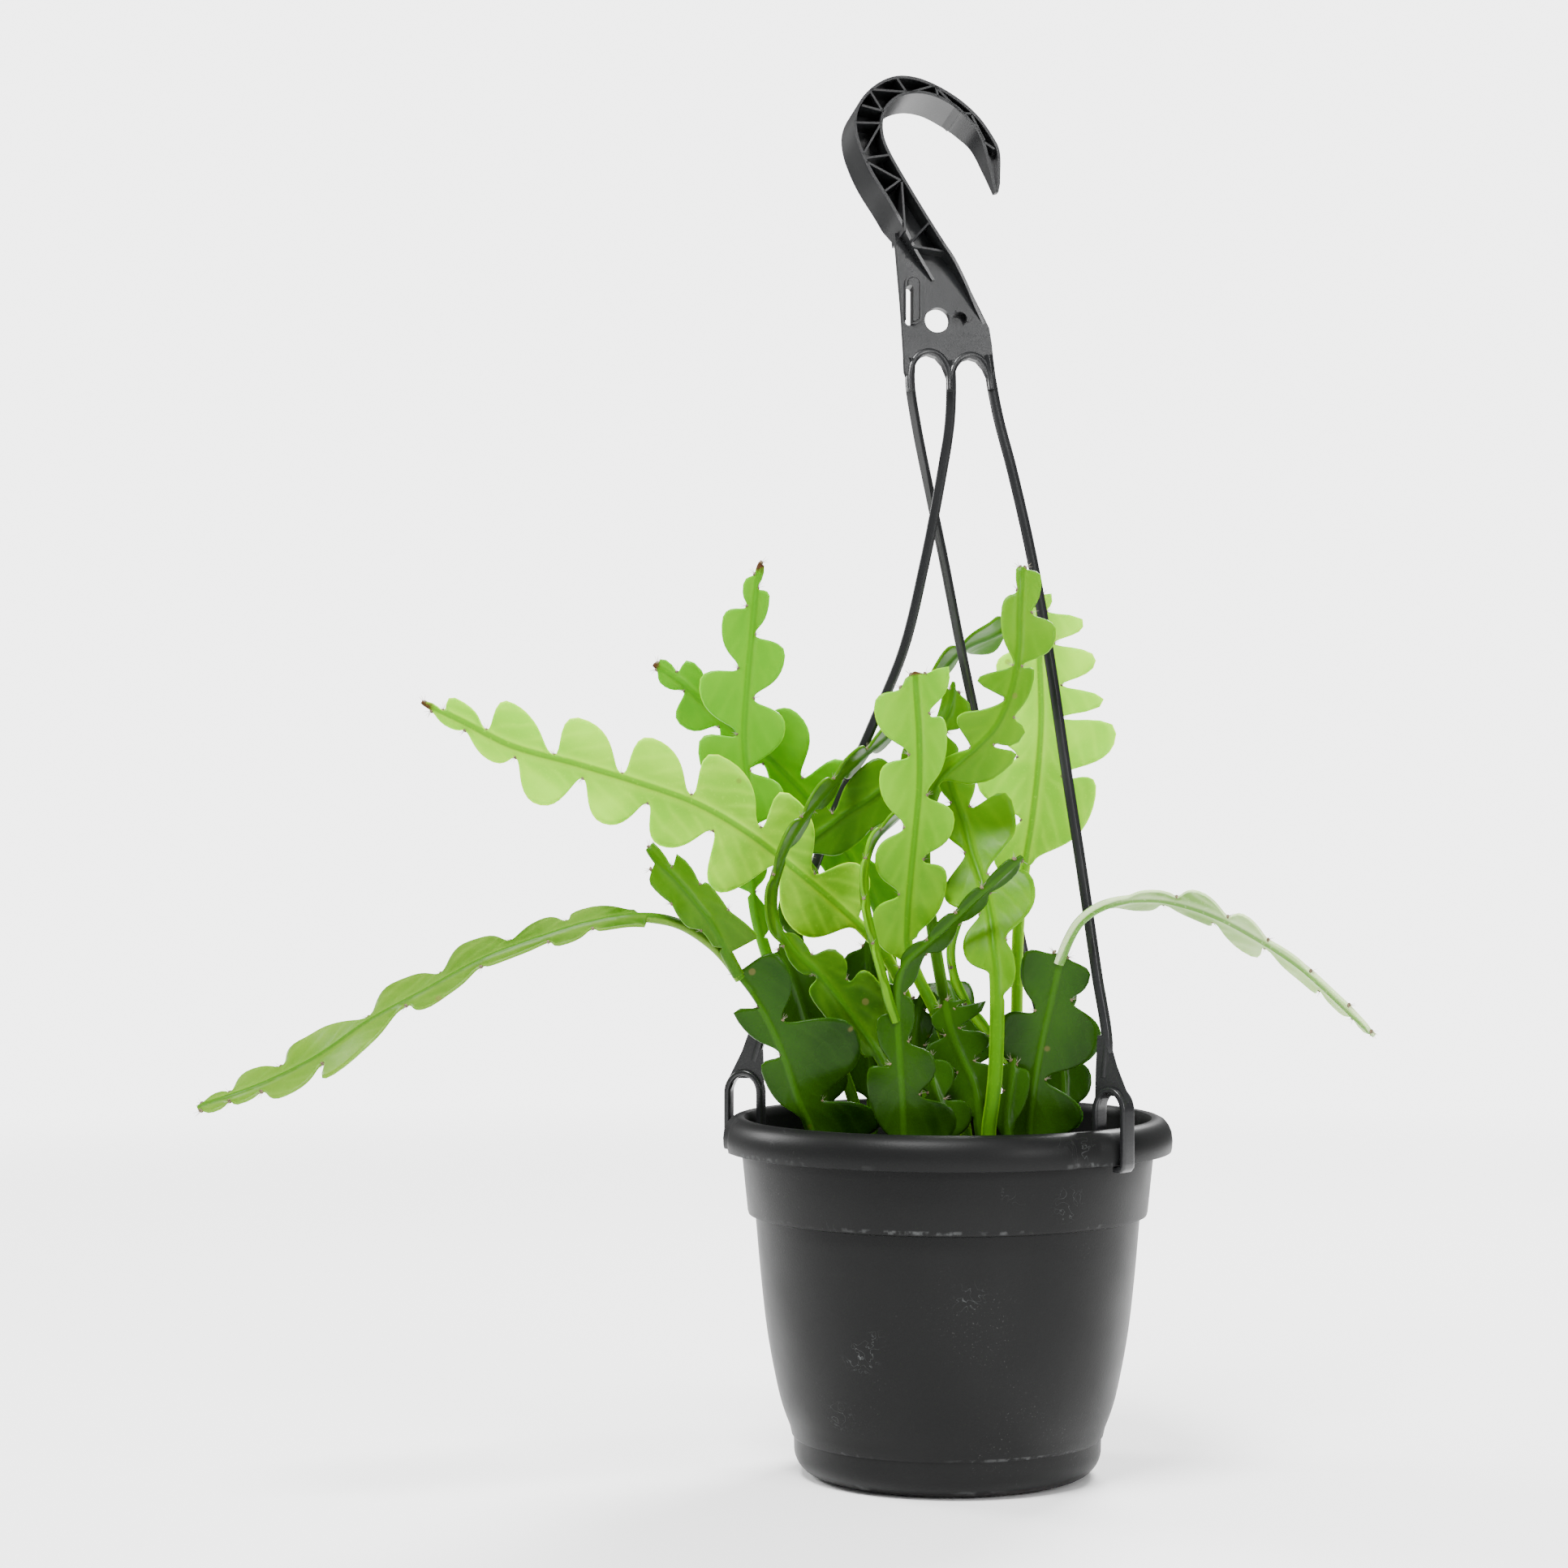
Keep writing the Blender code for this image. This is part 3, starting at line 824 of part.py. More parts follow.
def build_hanger():
    """One moulding: ribbed hook, plate with a slot and a hole, three arms and their rim clips."""
    outline = HOOK_OUTER + HOOK_TIP + HOOK_INNER
    front = 0.5 * HOOK_DEPTH
    hanger = slab("hanger", outline, front, -front)
    pockets = []
    for number, corners in enumerate(POCKETS):
        inner = pulled_in(corners, outline, FLANGE)
        middle = [on_plane(a, u, front) - PLATE_NORMAL * front for a, u in inner]
        for side in (1, -1):
            web_face = [p + PLATE_NORMAL * side * 0.5 * WEB for p in middle]
            beyond = [p + PLATE_NORMAL * side * (front + POCKET_OVERSHOOT) for p in middle]
            pockets.append(prism(f"pocket_{number}", web_face, beyond))
    combine(hanger, pockets, "DIFFERENCE")
    plate = slab("plate", PLATE_OUTLINE, 0.5 * PLATE, -0.5 * PLATE)
    cutters = [slab("slot", rounded(*SLOT), 6.0, -6.0), slab("round_hole", rounded(*ROUND_HOLE), 6.0, -6.0)]
    combine(plate, cutters, "DIFFERENCE")
    joined = [plate]
    for name, rows in ARMS.items():
        outward, sideways = rim_frame(CLIP_AZIMUTHS[name])
        end = outward * ARM_END[0] + np.array((0, 0, ARM_END[1]))
        route = smooth_route([tuple(sighted(*row)) for row in rows] + [tuple(end)], ARM_STEP)
        joined.append(swept(f"arm_{name}", route, ARM_HALF, sideways))
        joined += clip_pieces(f"clip_{name}", CLIP_AZIMUTHS[name])
    combine(hanger, joined, "UNION")
    hanger.data.materials.clear()
    hanger.data.materials.append(material("hanger_plastic"))
    hanger.data.polygons.foreach_set("material_index", [0] * len(hanger.data.polygons))
    return shade(hanger)


def main():
    clear_scene()
    build_pot()
    build_soil([spec["root"] for spec in STEMS.values()])
    build_hanger()
    for name, spec in STEMS.items():
        build_stem(name, spec)


main()
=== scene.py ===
"""Fishbone cactus in a black plastic hanging pot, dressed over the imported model.

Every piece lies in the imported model's frame: metres, +Z up, the origin in the middle of the
pot's underside, the front at -Y. Tables are in millimetres. A traced point is (across, up, depth):
the front view shows it at (across, up) in the upright plane through the pot's axis, and it lies
depth behind that plane along the line of sight.
"""

import logging
import math
from dataclasses import dataclass, field
from enum import Enum
from typing import Iterable, Sequence, Union

import bmesh
import bpy
import numpy as np
from mathutils import Matrix, Vector, noise


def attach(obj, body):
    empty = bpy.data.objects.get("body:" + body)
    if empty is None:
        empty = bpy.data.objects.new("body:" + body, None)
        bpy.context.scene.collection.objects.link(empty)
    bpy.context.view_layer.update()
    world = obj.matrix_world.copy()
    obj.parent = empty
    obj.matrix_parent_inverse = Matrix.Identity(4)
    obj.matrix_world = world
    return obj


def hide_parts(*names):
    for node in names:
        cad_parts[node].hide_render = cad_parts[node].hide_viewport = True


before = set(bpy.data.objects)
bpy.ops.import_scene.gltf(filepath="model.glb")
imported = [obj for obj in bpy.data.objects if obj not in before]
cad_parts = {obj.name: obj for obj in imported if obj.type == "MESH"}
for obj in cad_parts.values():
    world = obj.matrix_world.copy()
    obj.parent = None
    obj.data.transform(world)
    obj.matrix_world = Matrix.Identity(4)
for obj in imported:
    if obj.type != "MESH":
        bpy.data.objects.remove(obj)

LOG = logging.getLogger("fishbone_cactus")
MM = 0.001
EYE = np.array((-65.5, -1450.0, 276.0))
LENS_MM = 82.95
SENSOR_MM = 36.0
BODY = "root"

Point = Sequence[float]
Colour = tuple[float, float, float]
Knot = tuple[float, float]


def sighted(across: float, up: float, depth: float) -> np.ndarray:
    """Find the real point that the front view shows at a place.

    Args:
        across: Millimetres to the right of the pot's axis, as the front view shows it.
        up: Millimetres above the pot's underside, as the front view shows it.
        depth: Millimetres behind the pot's axis, away from the eye.

    Returns:
        The point in millimetres.
    """
    seen = np.array((across, 0.0, up))
    return EYE + (seen - EYE) * (depth - EYE[1]) / -EYE[1]


def smooth_route(rows: Sequence[Point], spacing: float) -> np.ndarray:
    """Sample a smooth curve through rows of numbers, whose first three are a place.

    Args:
        rows: The rows that the curve passes.
        spacing: Rough distance between samples.

    Returns:
        The sampled rows.
    """
    table = np.array(rows, float)
    table = np.vstack((2 * table[0] - table[1], table, 2 * table[-1] - table[-2]))
    found = []
    for i in range(1, len(table) - 2):
        before, start, end, after = table[i - 1:i + 3]
        gaps = [max(np.linalg.norm((b - a)[:3]), 1e-6) ** 0.5
                for a, b in ((before, start), (start, end), (end, after))]
        t1 = gaps[0]
        t2 = t1 + gaps[1]
        t3 = t2 + gaps[2]
        count = max(2, int(np.linalg.norm((end - start)[:3]) / spacing))
        for t in np.linspace(t1, t2, count, endpoint=False):
            a1 = (t1 - t) / t1 * before + t / t1 * start
            a2 = (t2 - t) / (t2 - t1) * start + (t - t1) / (t2 - t1) * end
            a3 = (t3 - t) / (t3 - t2) * end + (t - t2) / (t3 - t2) * after
            b1 = (t2 - t) / t2 * a1 + t / t2 * a2
            b2 = (t3 - t) / (t3 - t1) * a2 + (t - t1) / (t3 - t1) * a3
            found.append((t2 - t) / (t2 - t1) * b1 + (t - t1) / (t2 - t1) * b2)
    found.append(table[-2])
    return np.array(found)


def clamp(value: float, low: float, high: float) -> float:
    """Keep a value between two limits."""
    return min(max(value, low), high)


def mesh_piece(name: str, points: Iterable[Point], faces: Sequence[Sequence[int]]) -> bpy.types.Object:
    """Make a mesh object from points in millimetres, with its faces pointing out.

    Args:
        name: The object's name.
        points: The vertices.
        faces: Vertex numbers of each face.

    Returns:
        The object, at the origin.
    """
    mesh = bpy.data.meshes.new(name)
    mesh.from_pydata([tuple(float(c) * MM for c in p) for p in points], [], faces)
    mesh.validate()
    shape = bmesh.new()
    shape.from_mesh(mesh)
    bmesh.ops.recalc_face_normals(shape, faces=shape.faces)
    shape.to_mesh(mesh)
    shape.free()
    made = bpy.data.objects.new(name, mesh)
    bpy.context.scene.collection.objects.link(made)
    return made


def loft(name: str, sections: Sequence[Sequence[Point]]) -> bpy.types.Object:
    """Join closed sections of as many points into a solid that is closed at both ends.

    Args:
        name: The solid's name.
        sections: The sections in order, in millimetres.

    Returns:
        The solid.
    """
    points = [point for section in sections for point in section]
    ring = len(sections[0])
    faces: list[tuple[int, ...]] = []
    for start in range(0, len(points) - ring, ring):
        for i in range(ring):
            a, b = start + i, start + (i + 1) % ring
            faces.append((a, b, b + ring, a + ring))
    faces += [tuple(range(ring)), tuple(range(len(points) - ring, len(points)))]
    return mesh_piece(name, points, faces)


def shade(piece: bpy.types.Object, angle: float = 32.0) -> bpy.types.Object:
    """Shade a piece smooth, with its sharper edges kept crisp.

    Args:
        piece: The piece.
        angle: The angle in degrees from which an edge stays crisp.

    Returns:
        The piece.
    """
    piece.data.shade_smooth()
    piece.data.set_sharp_from_angle(angle=math.radians(angle))
    return piece


def baked(piece: bpy.types.Object) -> bpy.types.Object:
    """Turn a piece's modifiers into its plain mesh.

    Args:
        piece: The piece, whose modifiers are used up.

    Returns:
        The piece.
    """
    bpy.context.view_layer.update()
    graph = bpy.context.evaluated_depsgraph_get()
    result = bpy.data.meshes.new_from_object(piece.evaluated_get(graph))
    piece.modifiers.clear()
    old = piece.data
    piece.data = result
    bpy.data.meshes.remove(old)
    result.name = piece.name
    return piece


class Join(Enum):
    """How solids are combined."""

    UNION = "UNION"
    DIFFERENCE = "DIFFERENCE"


def combine(body: bpy.types.Object, others: Sequence[bpy.types.Object], how: Join) -> bpy.types.Object:
    """Join solids to a body, or cut them from it, and remove them.

    Args:
        body: The solid that stays.
        others: The solids that are used up.
        how: Whether they are added or cut away.

    Returns:
        The body.
    """
    tools = bpy.data.collections.new("tools")
    bpy.context.scene.collection.children.link(tools)
    for other in others:
        bpy.context.scene.collection.objects.unlink(other)
        tools.objects.link(other)
    change = body.modifiers.new("combine", "BOOLEAN")
    change.operand_type = "COLLECTION"
    change.collection = tools
    change.operation = how.value
    change.solver = "EXACT"
    baked(body)
    for other in others:
        bpy.data.objects.remove(other)
    bpy.data.collections.remove(tools)
    return body


def joined(body: bpy.types.Object, others: Sequence[bpy.types.Object]) -> bpy.types.Object:
    """Put closed shells that reach into each other into one mesh.

    Args:
        body: The piece that stays.
        others: The pieces that are used up.

    Returns:
        The body.
    """
    shape = bmesh.new()
    for part in (body, *others):
        shape.from_mesh(part.data)
    shape.to_mesh(body.data)
    shape.free()
    for other in others:
        bpy.data.objects.remove(other)
    return body


def hand_over(piece: bpy.types.Object, material: bpy.types.Material, node: str) -> None:
    """Dress a piece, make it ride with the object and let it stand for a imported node.

    Args:
        piece: The finished piece, at the origin.
        material: Its finish.
        node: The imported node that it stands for.
    """
    piece.data.materials.clear()
    piece.data.materials.append(material)
    piece.data.polygons.foreach_set("material_index", [0] * len(piece.data.polygons))
    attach(piece, BODY)
    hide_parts(node)
    LOG.info("%s: %d faces, stands for %s", piece.name, len(piece.data.polygons), node)


# Shader trees


class Value:
    """A shader socket that takes part in Python arithmetic."""

    def __init__(self, tree: "ShaderTree", socket: bpy.types.NodeSocket) -> None:
        """Wrap a tree's socket."""
        self.tree = tree
        self.socket = socket

    def __add__(self, other: "Number") -> "Value":
        """Add."""
        return self.tree.maths("ADD", self, other)

    def __sub__(self, other: "Number") -> "Value":
        """Subtract."""
        return self.tree.maths("SUBTRACT", self, other)

    def __rsub__(self, other: "Number") -> "Value":
        """Subtract from a number."""
        return self.tree.maths("SUBTRACT", other, self)

    def __mul__(self, other: "Number") -> "Value":
        """Multiply."""
        return self.tree.maths("MULTIPLY", self, other)

    def __truediv__(self, other: "Number") -> "Value":
        """Divide."""
        return self.tree.maths("DIVIDE", self, other)

    __radd__ = __add__
    __rmul__ = __mul__

    def size(self) -> "Value":
        """Take the absolute value."""
        return self.tree.maths("ABSOLUTE", self)

    def power(self, exponent: float) -> "Value":
        """Raise to a power."""
        return self.tree.maths("POWER", self, exponent)

    def wave(self) -> "Value":
        """Take the sine."""
        return self.tree.maths("SINE", self)

    def most(self, other: "Number") -> "Value":
        """Take the larger of two."""
        return self.tree.maths("MAXIMUM", self, other)

    def ramp(self, low: float, high: float) -> "Value":
        """Rise smoothly from 0 to 1, or fall where low is the larger.

        Args:
            low: The value that gives 0.
            high: The value that gives 1.

        Returns:
            The eased value.
        """
        node = self.tree.node(
            "ShaderNodeMapRange", {"interpolation_type": "SMOOTHSTEP"},
            {"Value": self, "From Min": min(low, high), "From Max": max(low, high),
             "To Min": 0.0 if low < high else 1.0, "To Max": 1.0 if low < high else 0.0})
        return Value(self.tree, node.outputs["Result"])


Number = Union[Value, float]
Input = Union[Value, float, Sequence[float]]


class ShaderTree:
    """A material under construction."""

    def __init__(self, name: str) -> None:
        """Start an empty material.

        Args:
            name: The material's name.
        """
        self.material = bpy.data.materials.new(name)
        self.material.use_nodes = True
        self.nodes = self.material.node_tree.nodes
        self.links = self.material.node_tree.links
        self.nodes.clear()

    def node(self, kind: str, settings: dict, inputs: dict) -> bpy.types.Node:
        """Add a node.

        Args:
            kind: The node's type.
            settings: Its own settings, such as a Math node's operation.
            inputs: Values or links of its sockets, by name or number.

        Returns:
            The node.
        """
        made = self.nodes.new(kind)
        for key, value in settings.items():
            setattr(made, key, value)
        for key, value in inputs.items():
            socket = made.inputs[key]
            if isinstance(value, Value):
                self.links.new(value.socket, socket)
            elif hasattr(socket.default_value, "__len__") and len(value) + 1 == len(socket.default_value):
                socket.default_value = (*value, 1.0)
            else:
                socket.default_value = value
        return made

    def maths(self, operation: str, *values: Number) -> Value:
        """Add a Math node on one or two values."""
        made = self.node("ShaderNodeMath", {"operation": operation}, dict(enumerate(values)))
        return Value(self, made.outputs[0])

    def attribute(self, name: str) -> Value:
        """Read a number that the piece's own mesh carries."""
        made = self.node("ShaderNodeAttribute", {"attribute_name": name}, {})
        return Value(self, made.outputs["Fac"])

    def place(self) -> Value:
        """Give the object coordinates, in metres."""
        source = self.node("ShaderNodeTexCoord", {}, {})
        return Value(self, source.outputs["Object"])

    def axis(self, letter: str) -> Value:
        """Give one object coordinate, in metres."""
        made = self.node("ShaderNodeSeparateXYZ", {}, {0: self.place()})
        return Value(self, made.outputs[letter])

    def cloud(self, scale: float, detail: float = 3.0, distortion: float = 0.0) -> Value:
        """Give soft noise.

        Args:
            scale: How many features go to the metre.
            detail: How many finer layers it has.
            distortion: How far the features curl.

        Returns:
            A value between 0 and 1.
        """
        settings = {"Vector": self.place(), "Scale": scale, "Detail": detail, "Distortion": distortion}
        made = self.node("ShaderNodeTexNoise", {}, settings)
        return Value(self, made.outputs[0])

    def cells(self, scale: float) -> Value:
        """Give the distance to points scattered so many to the metre."""
        made = self.node("ShaderNodeTexVoronoi", {}, {"Vector": self.place(), "Scale": scale})
        return Value(self, made.outputs["Distance"])

    def mix(self, amount: Number, first: Input, second: Input) -> Value:
        """Mix two colours, from the first at 0 to the second at 1."""
        made = self.node("ShaderNodeMix", {"data_type": "RGBA"}, {0: amount, 6: first, 7: second})
        return Value(self, made.outputs[2])

    def bump(self, height: Value, distance: float, strength: float) -> Value:
        """Turn a height into a surface normal."""
        inputs = {"Height": height, "Distance": distance, "Strength": strength}
        return Value(self, self.node("ShaderNodeBump", {}, inputs).outputs["Normal"])

    def finish(self, colour: Input, roughness: Number, normal: Value | None = None,
               alpha: Value | None = None, **fixed: Input) -> bpy.types.Material:
        """Close the tree with a Principled BSDF.

        Args:
            colour: The base colour.
            roughness: The roughness.
            normal: The surface normal, if it isn't the mesh's own.
            alpha: How solid it is, if it isn't solid all over.
            fixed: Other sockets that are the same all over, with _ for each space in their names.

        Returns:
            The material.
        """
        inputs: dict = {"Base Color": colour, "Roughness": roughness}
        if normal:
            inputs["Normal"] = normal
        if alpha:
            inputs["Alpha"] = alpha
        inputs |= {key.replace("_", " "): value for key, value in fixed.items()}
        surface = self.node("ShaderNodeBsdfPrincipled", {}, inputs)
        output = self.nodes.new("ShaderNodeOutputMaterial")
        self.links.new(surface.outputs[0], output.inputs["Surface"])
        return self.material


# Finishes


@dataclass(frozen=True)
class StemSkin:
    """The waxy skin of a stem, from its foot to its growing tip."""

    name: str
    foot: Colour
    tip: Colour
    rib: Colour
    pale: Colour
    gloss: float = 0.36
    glow: float = 0.22
    glow_reach: float = 0.0032
    glow_tint: Colour = (0.45, 1.0, 0.16)
    scorch: Colour = (0.060, 0.025, 0.008)
    cork: Colour = (0.14, 0.10, 0.035)
    relief: float = 0.00022

    def build(self) -> bpy.types.Material:
        """Build the material.

        Returns:
            The material, which reads the attributes off, edge, age, along and burn.
        """
        tree = ShaderTree(self.name)
        off = tree.attribute("off").size()
        edge = tree.attribute("edge")
        age = tree.attribute("age")
        along = tree.attribute("along")
        body = tree.mix(age.ramp(0.20, 0.88), self.foot, self.tip)
        patches = tree.cloud(34.0, 4.0, distortion=0.6).ramp(0.36, 0.68)
        body = tree.mix(patches * 0.5, body, self.pale)
        body = tree.mix(off.ramp(15.0, 2.0) * 0.34, body, self.rib)
        veins = ((along * 0.62 + off * 0.9 + tree.cloud(60.0) * 5.0).wave() * 0.5 + 0.5).power(3.0)
        body = tree.mix(veins * off.ramp(2.0, 6.0) * 0.20, body, self.pale)
        halo = off.ramp(4.6, 1.4) * edge.ramp(0.5, 3.0)
        body = tree.mix(halo * 0.30, body, self.pale)
        body = tree.mix(off.ramp(1.7, 0.7) * 0.8, body, self.rib)
        speck = tree.cloud(900.0, 2.0).ramp(0.60, 0.72)
        body = tree.mix(speck * 0.16, body, self.pale)
        body = tree.mix(edge.ramp(0.75, 0.15) * 0.55, body, self.pale)
        ragged = tree.cloud(420.0, 3.0) * 0.9 + 0.55
        burn = (tree.attribute("burn") * ragged).ramp(0.35, 0.8)
        body = tree.mix(burn, body, self.scorch)
        scar = tree.cells(58.0).ramp(0.10, 0.06) * tree.cloud(38.0, 1.0).ramp(0.56, 0.60)
        body = tree.mix(scar * 0.45, body, self.cork)
        rough = tree.cloud(70.0, 3.0) * 0.16 + (self.gloss - 0.08) + burn * 0.3
        height = tree.cloud(1100.0, 2.0) * 0.25 + veins * 0.5 + tree.cloud(190.0, 3.0) * 0.8
        return tree.finish(
            body, rough, tree.bump(height, self.relief, 0.55), Subsurface_Weight=self.glow,
            Subsurface_Radius=self.glow_tint, Subsurface_Scale=self.glow_reach, Specular_IOR_Level=0.08)


class Skin(Enum):
    """The skins that the stems have."""

    FRESH = StemSkin("fresh_skin", (0.038, 0.150, 0.0008), (0.235, 0.560, 0.0014), (0.060, 0.230, 0.0008),
                     (0.420, 0.740, 0.0160), glow=0.5)
    LIME = StemSkin("lime_skin", (0.030, 0.130, 0.0006), (0.078, 0.285, 0.0007), (0.050, 0.210, 0.0006),
                    (0.125, 0.360, 0.0014), glow=0.5)
    LIGHT = StemSkin("light_skin", (0.024, 0.098, 0.0006), (0.105, 0.310, 0.0010), (0.038, 0.155, 0.0006),
                     (0.190, 0.430, 0.0040), glow=0.5)
    GREEN = StemSkin("green_skin", (0.020, 0.080, 0.0005), (0.062, 0.190, 0.0007), (0.040, 0.140, 0.0006),
                     (0.115, 0.280, 0.0020), glow=0.4)
    MID = StemSkin("mid_skin", (0.010, 0.040, 0.0006), (0.036, 0.125, 0.0008), (0.026, 0.100, 0.0008),
                   (0.070, 0.180, 0.0040), gloss=0.32, glow=0.35)
    DEEP = StemSkin("deep_skin", (0.0042, 0.0190, 0.0006), (0.0074, 0.0335, 0.0006), (0.026, 0.090, 0.0020),
                    (0.018, 0.058, 0.0025), gloss=0.27, glow=0.10)
    TRAILING = StemSkin("trailing_skin", (0.020, 0.075, 0.0012), (0.090, 0.195, 0.0080),
                        (0.036, 0.125, 0.0020), (0.150, 0.275, 0.0300), gloss=0.32, glow=0.3)
    PALE = StemSkin("pale_skin", (0.060, 0.190, 0.0050), (0.560, 0.760, 0.3200), (0.060, 0.190, 0.0100),
                    (0.720, 0.840, 0.5000), gloss=0.36, glow=0.3)


@dataclass(frozen=True)
class MouldedPlastic:
    """Black moulded plastic with scuffs and fine scratches."""

    name: str
    colour: Colour
    sheen: Colour
    gloss: float
    scuffs: float
    grain: float
    scuff: Colour = (0.12, 0.125, 0.125)
    dust: Colour = (0.08, 0.08, 0.078)

    def build(self) -> bpy.types.Material:
        """Build the material.

        Returns:
            The material, scuffed in patches.
        """
        tree = ShaderTree(self.name)
        drift = tree.cloud(14.0, 4.0, distortion=0.4)
        body = tree.mix(drift.ramp(0.35, 0.7) * 0.5, self.colour, self.sheen)
        marks = self.scuffed(tree, 60.0, 210.0) * self.scuffs
        dust = tree.cloud(1500.0, 2.0).ramp(0.66, 0.74) * tree.cloud(30.0, 2.0).ramp(0.46, 0.7) * self.scuffs
        body = tree.mix(marks * 0.5, body, self.scuff)
        body = tree.mix(dust * 0.12, body, self.dust)
        rough = tree.cloud(42.0, 4.0) * 0.20 + (self.gloss - 0.10) + marks * 0.2
        height = tree.cloud(self.grain, 2.0) * 0.6 + tree.cloud(95.0, 2.0) * 0.5 - marks * 0.6
        return tree.finish(body, rough, tree.bump(height, 0.00012, 0.6), Specular_IOR_Level=0.45)

    @staticmethod
    def scuffed(tree: ShaderTree, spots: float, curls: float) -> Value:
        """Give fine curled scuffs, a few in each of the scattered spots.

        Args:
            tree: The tree that they are part of.
            spots: How many spots go to the metre.
            curls: How many curls go to the metre.

        Returns:
            A value that is 1 on a scuff.
        """
        line = (tree.cloud(curls, 2.0, distortion=1.4) - 0.5).size().ramp(0.013, 0.002)
        return line * tree.cells(spots).ramp(0.30, 0.04) * tree.cloud(0.6 * spots, 2.0).ramp(0.47, 0.53)


@dataclass(frozen=True)
class WornPot:
    """The pot's plastic: worn whiter under the rim and at the foot, with a painted highlight on the ledge."""

    plastic: MouldedPlastic
    # Heights and half widths of the whiter bands: under the rim (130.4) and at the foot (15.6, 2.2) they are
    # rubbed wear, on the ledge (105.4) a painted highlight.
    wear_and_highlight_heights: tuple[Knot, ...] = ((130.4, 1.5), (105.4, 1.1), (15.6, 0.9), (2.2, 1.8))
    scuff: Colour = (0.11, 0.117, 0.117)
    wear_and_highlight_colour: Colour = (0.10, 0.104, 0.104)

    def build(self) -> bpy.types.Material:
        """Build the material.

        Returns:
            The material, which reads the height from the object's own coordinates.
        """
        tree = ShaderTree(self.plastic.name)
        height = tree.axis("Z") / MM
        drift = tree.cloud(9.0, 4.0, distortion=0.5)
        body = tree.mix(drift.ramp(0.35, 0.7) * 0.6, self.plastic.colour, self.plastic.sheen)
        marks = self.plastic.scuffed(tree, 30.0, 150.0)
        breaks = tree.cloud(260.0, 5.0).ramp(0.48, 0.66) * tree.cloud(19.0, 2.0).ramp(0.42, 0.64)
        wear_and_highlight = None
        for middle, width in self.wear_and_highlight_heights:
            band = (height - middle).size().ramp(width, width * 0.25)
            wear_and_highlight = band if wear_and_highlight is None else wear_and_highlight.most(band)
        wear_and_highlight = wear_and_highlight * breaks
        dust = tree.cloud(1300.0, 2.0).ramp(0.64, 0.74) * tree.cloud(22.0, 3.0).ramp(0.50, 0.66)
        body = tree.mix(dust * 0.30, body, self.plastic.dust)
        body = tree.mix(marks * 0.5, body, self.scuff)
        # Whiter bands: rubbed wear under the rim and at the foot, and a painted highlight on the ledge.
        body = tree.mix(wear_and_highlight * 0.5, body, self.wear_and_highlight_colour)
        rough = tree.cloud(33.0, 4.0) * 0.18 + (self.plastic.gloss - 0.09) + marks.most(wear_and_highlight) * 0.2
        relief = tree.cloud(self.plastic.grain, 2.0) * 0.5 + tree.cloud(60.0, 2.0) * 0.7 - marks * 0.5
        return tree.finish(body, rough, tree.bump(relief, 0.00014, 0.6), Specular_IOR_Level=0.10)


@dataclass(frozen=True)
class PottingMix:
    """Dark peat with bark and pale grit."""

    name: str
    peat: Colour = (0.013, 0.008, 0.005)
    bark: Colour = (0.060, 0.031, 0.014)
    grit: Colour = (0.24, 0.22, 0.19)
    painted_hollow_shade: Colour = (0.005, 0.003, 0.002)

    def build(self) -> bpy.types.Material:
        """Build the material.

        Returns:
            The material, with painted shade: near-black specks at random stand for its hollows.
        """
        tree = ShaderTree(self.name)
        body = tree.mix(tree.cloud(260.0, 5.0).ramp(0.42, 0.66), self.peat, self.bark)
        # Near-black specks at random: painted shade standing for the hollows between crumbs.
        body = tree.mix(tree.cloud(900.0, 3.0).ramp(0.52, 0.7) * 0.6, body, self.painted_hollow_shade)
        pale = tree.cells(210.0).ramp(0.20, 0.12) * tree.cloud(90.0, 2.0).ramp(0.60, 0.66)
        body = tree.mix(pale * 0.8, body, self.grit)
        height = tree.cloud(420.0, 5.0) + tree.cells(300.0) * 0.6
        return tree.finish(body, 0.93, tree.bump(height, 0.0012, 0.9))


@dataclass(frozen=True)
class Felt:
    """The corky felt and the pale bristles of the areoles."""

    name: str
    dark: Colour
    light: Colour

    def build(self) -> bpy.types.Material:
        """Build the material.

        Returns:
            The material, finely mottled.
        """
        tree = ShaderTree(self.name)
        body = tree.mix(tree.cloud(2400.0, 3.0).ramp(0.4, 0.65), self.dark, self.light)
        return tree.finish(body, 0.85, tree.bump(tree.cloud(3500.0, 2.0), 0.0002, 0.8))


POT_PLASTIC = MouldedPlastic("pot_plastic", (0.0062, 0.0064, 0.0064), (0.0100, 0.0102, 0.0102),
                             gloss=0.42, scuffs=1.0, grain=1400.0)
HANGER_PLASTIC = MouldedPlastic("hanger_gloss", (0.0080, 0.0084, 0.0090), (0.013, 0.0135, 0.014),
                                gloss=0.30, scuffs=0.5, grain=1800.0)
MIX_FINISH = PottingMix("peat_and_bark")
PAD_FELT = Felt("areole_felt", (0.060, 0.038, 0.016), (0.20, 0.16, 0.09))
BRISTLE_HORN = Felt("bristle_horn", (0.20, 0.17, 0.11), (0.36, 0.33, 0.26))


# Geometry node trees


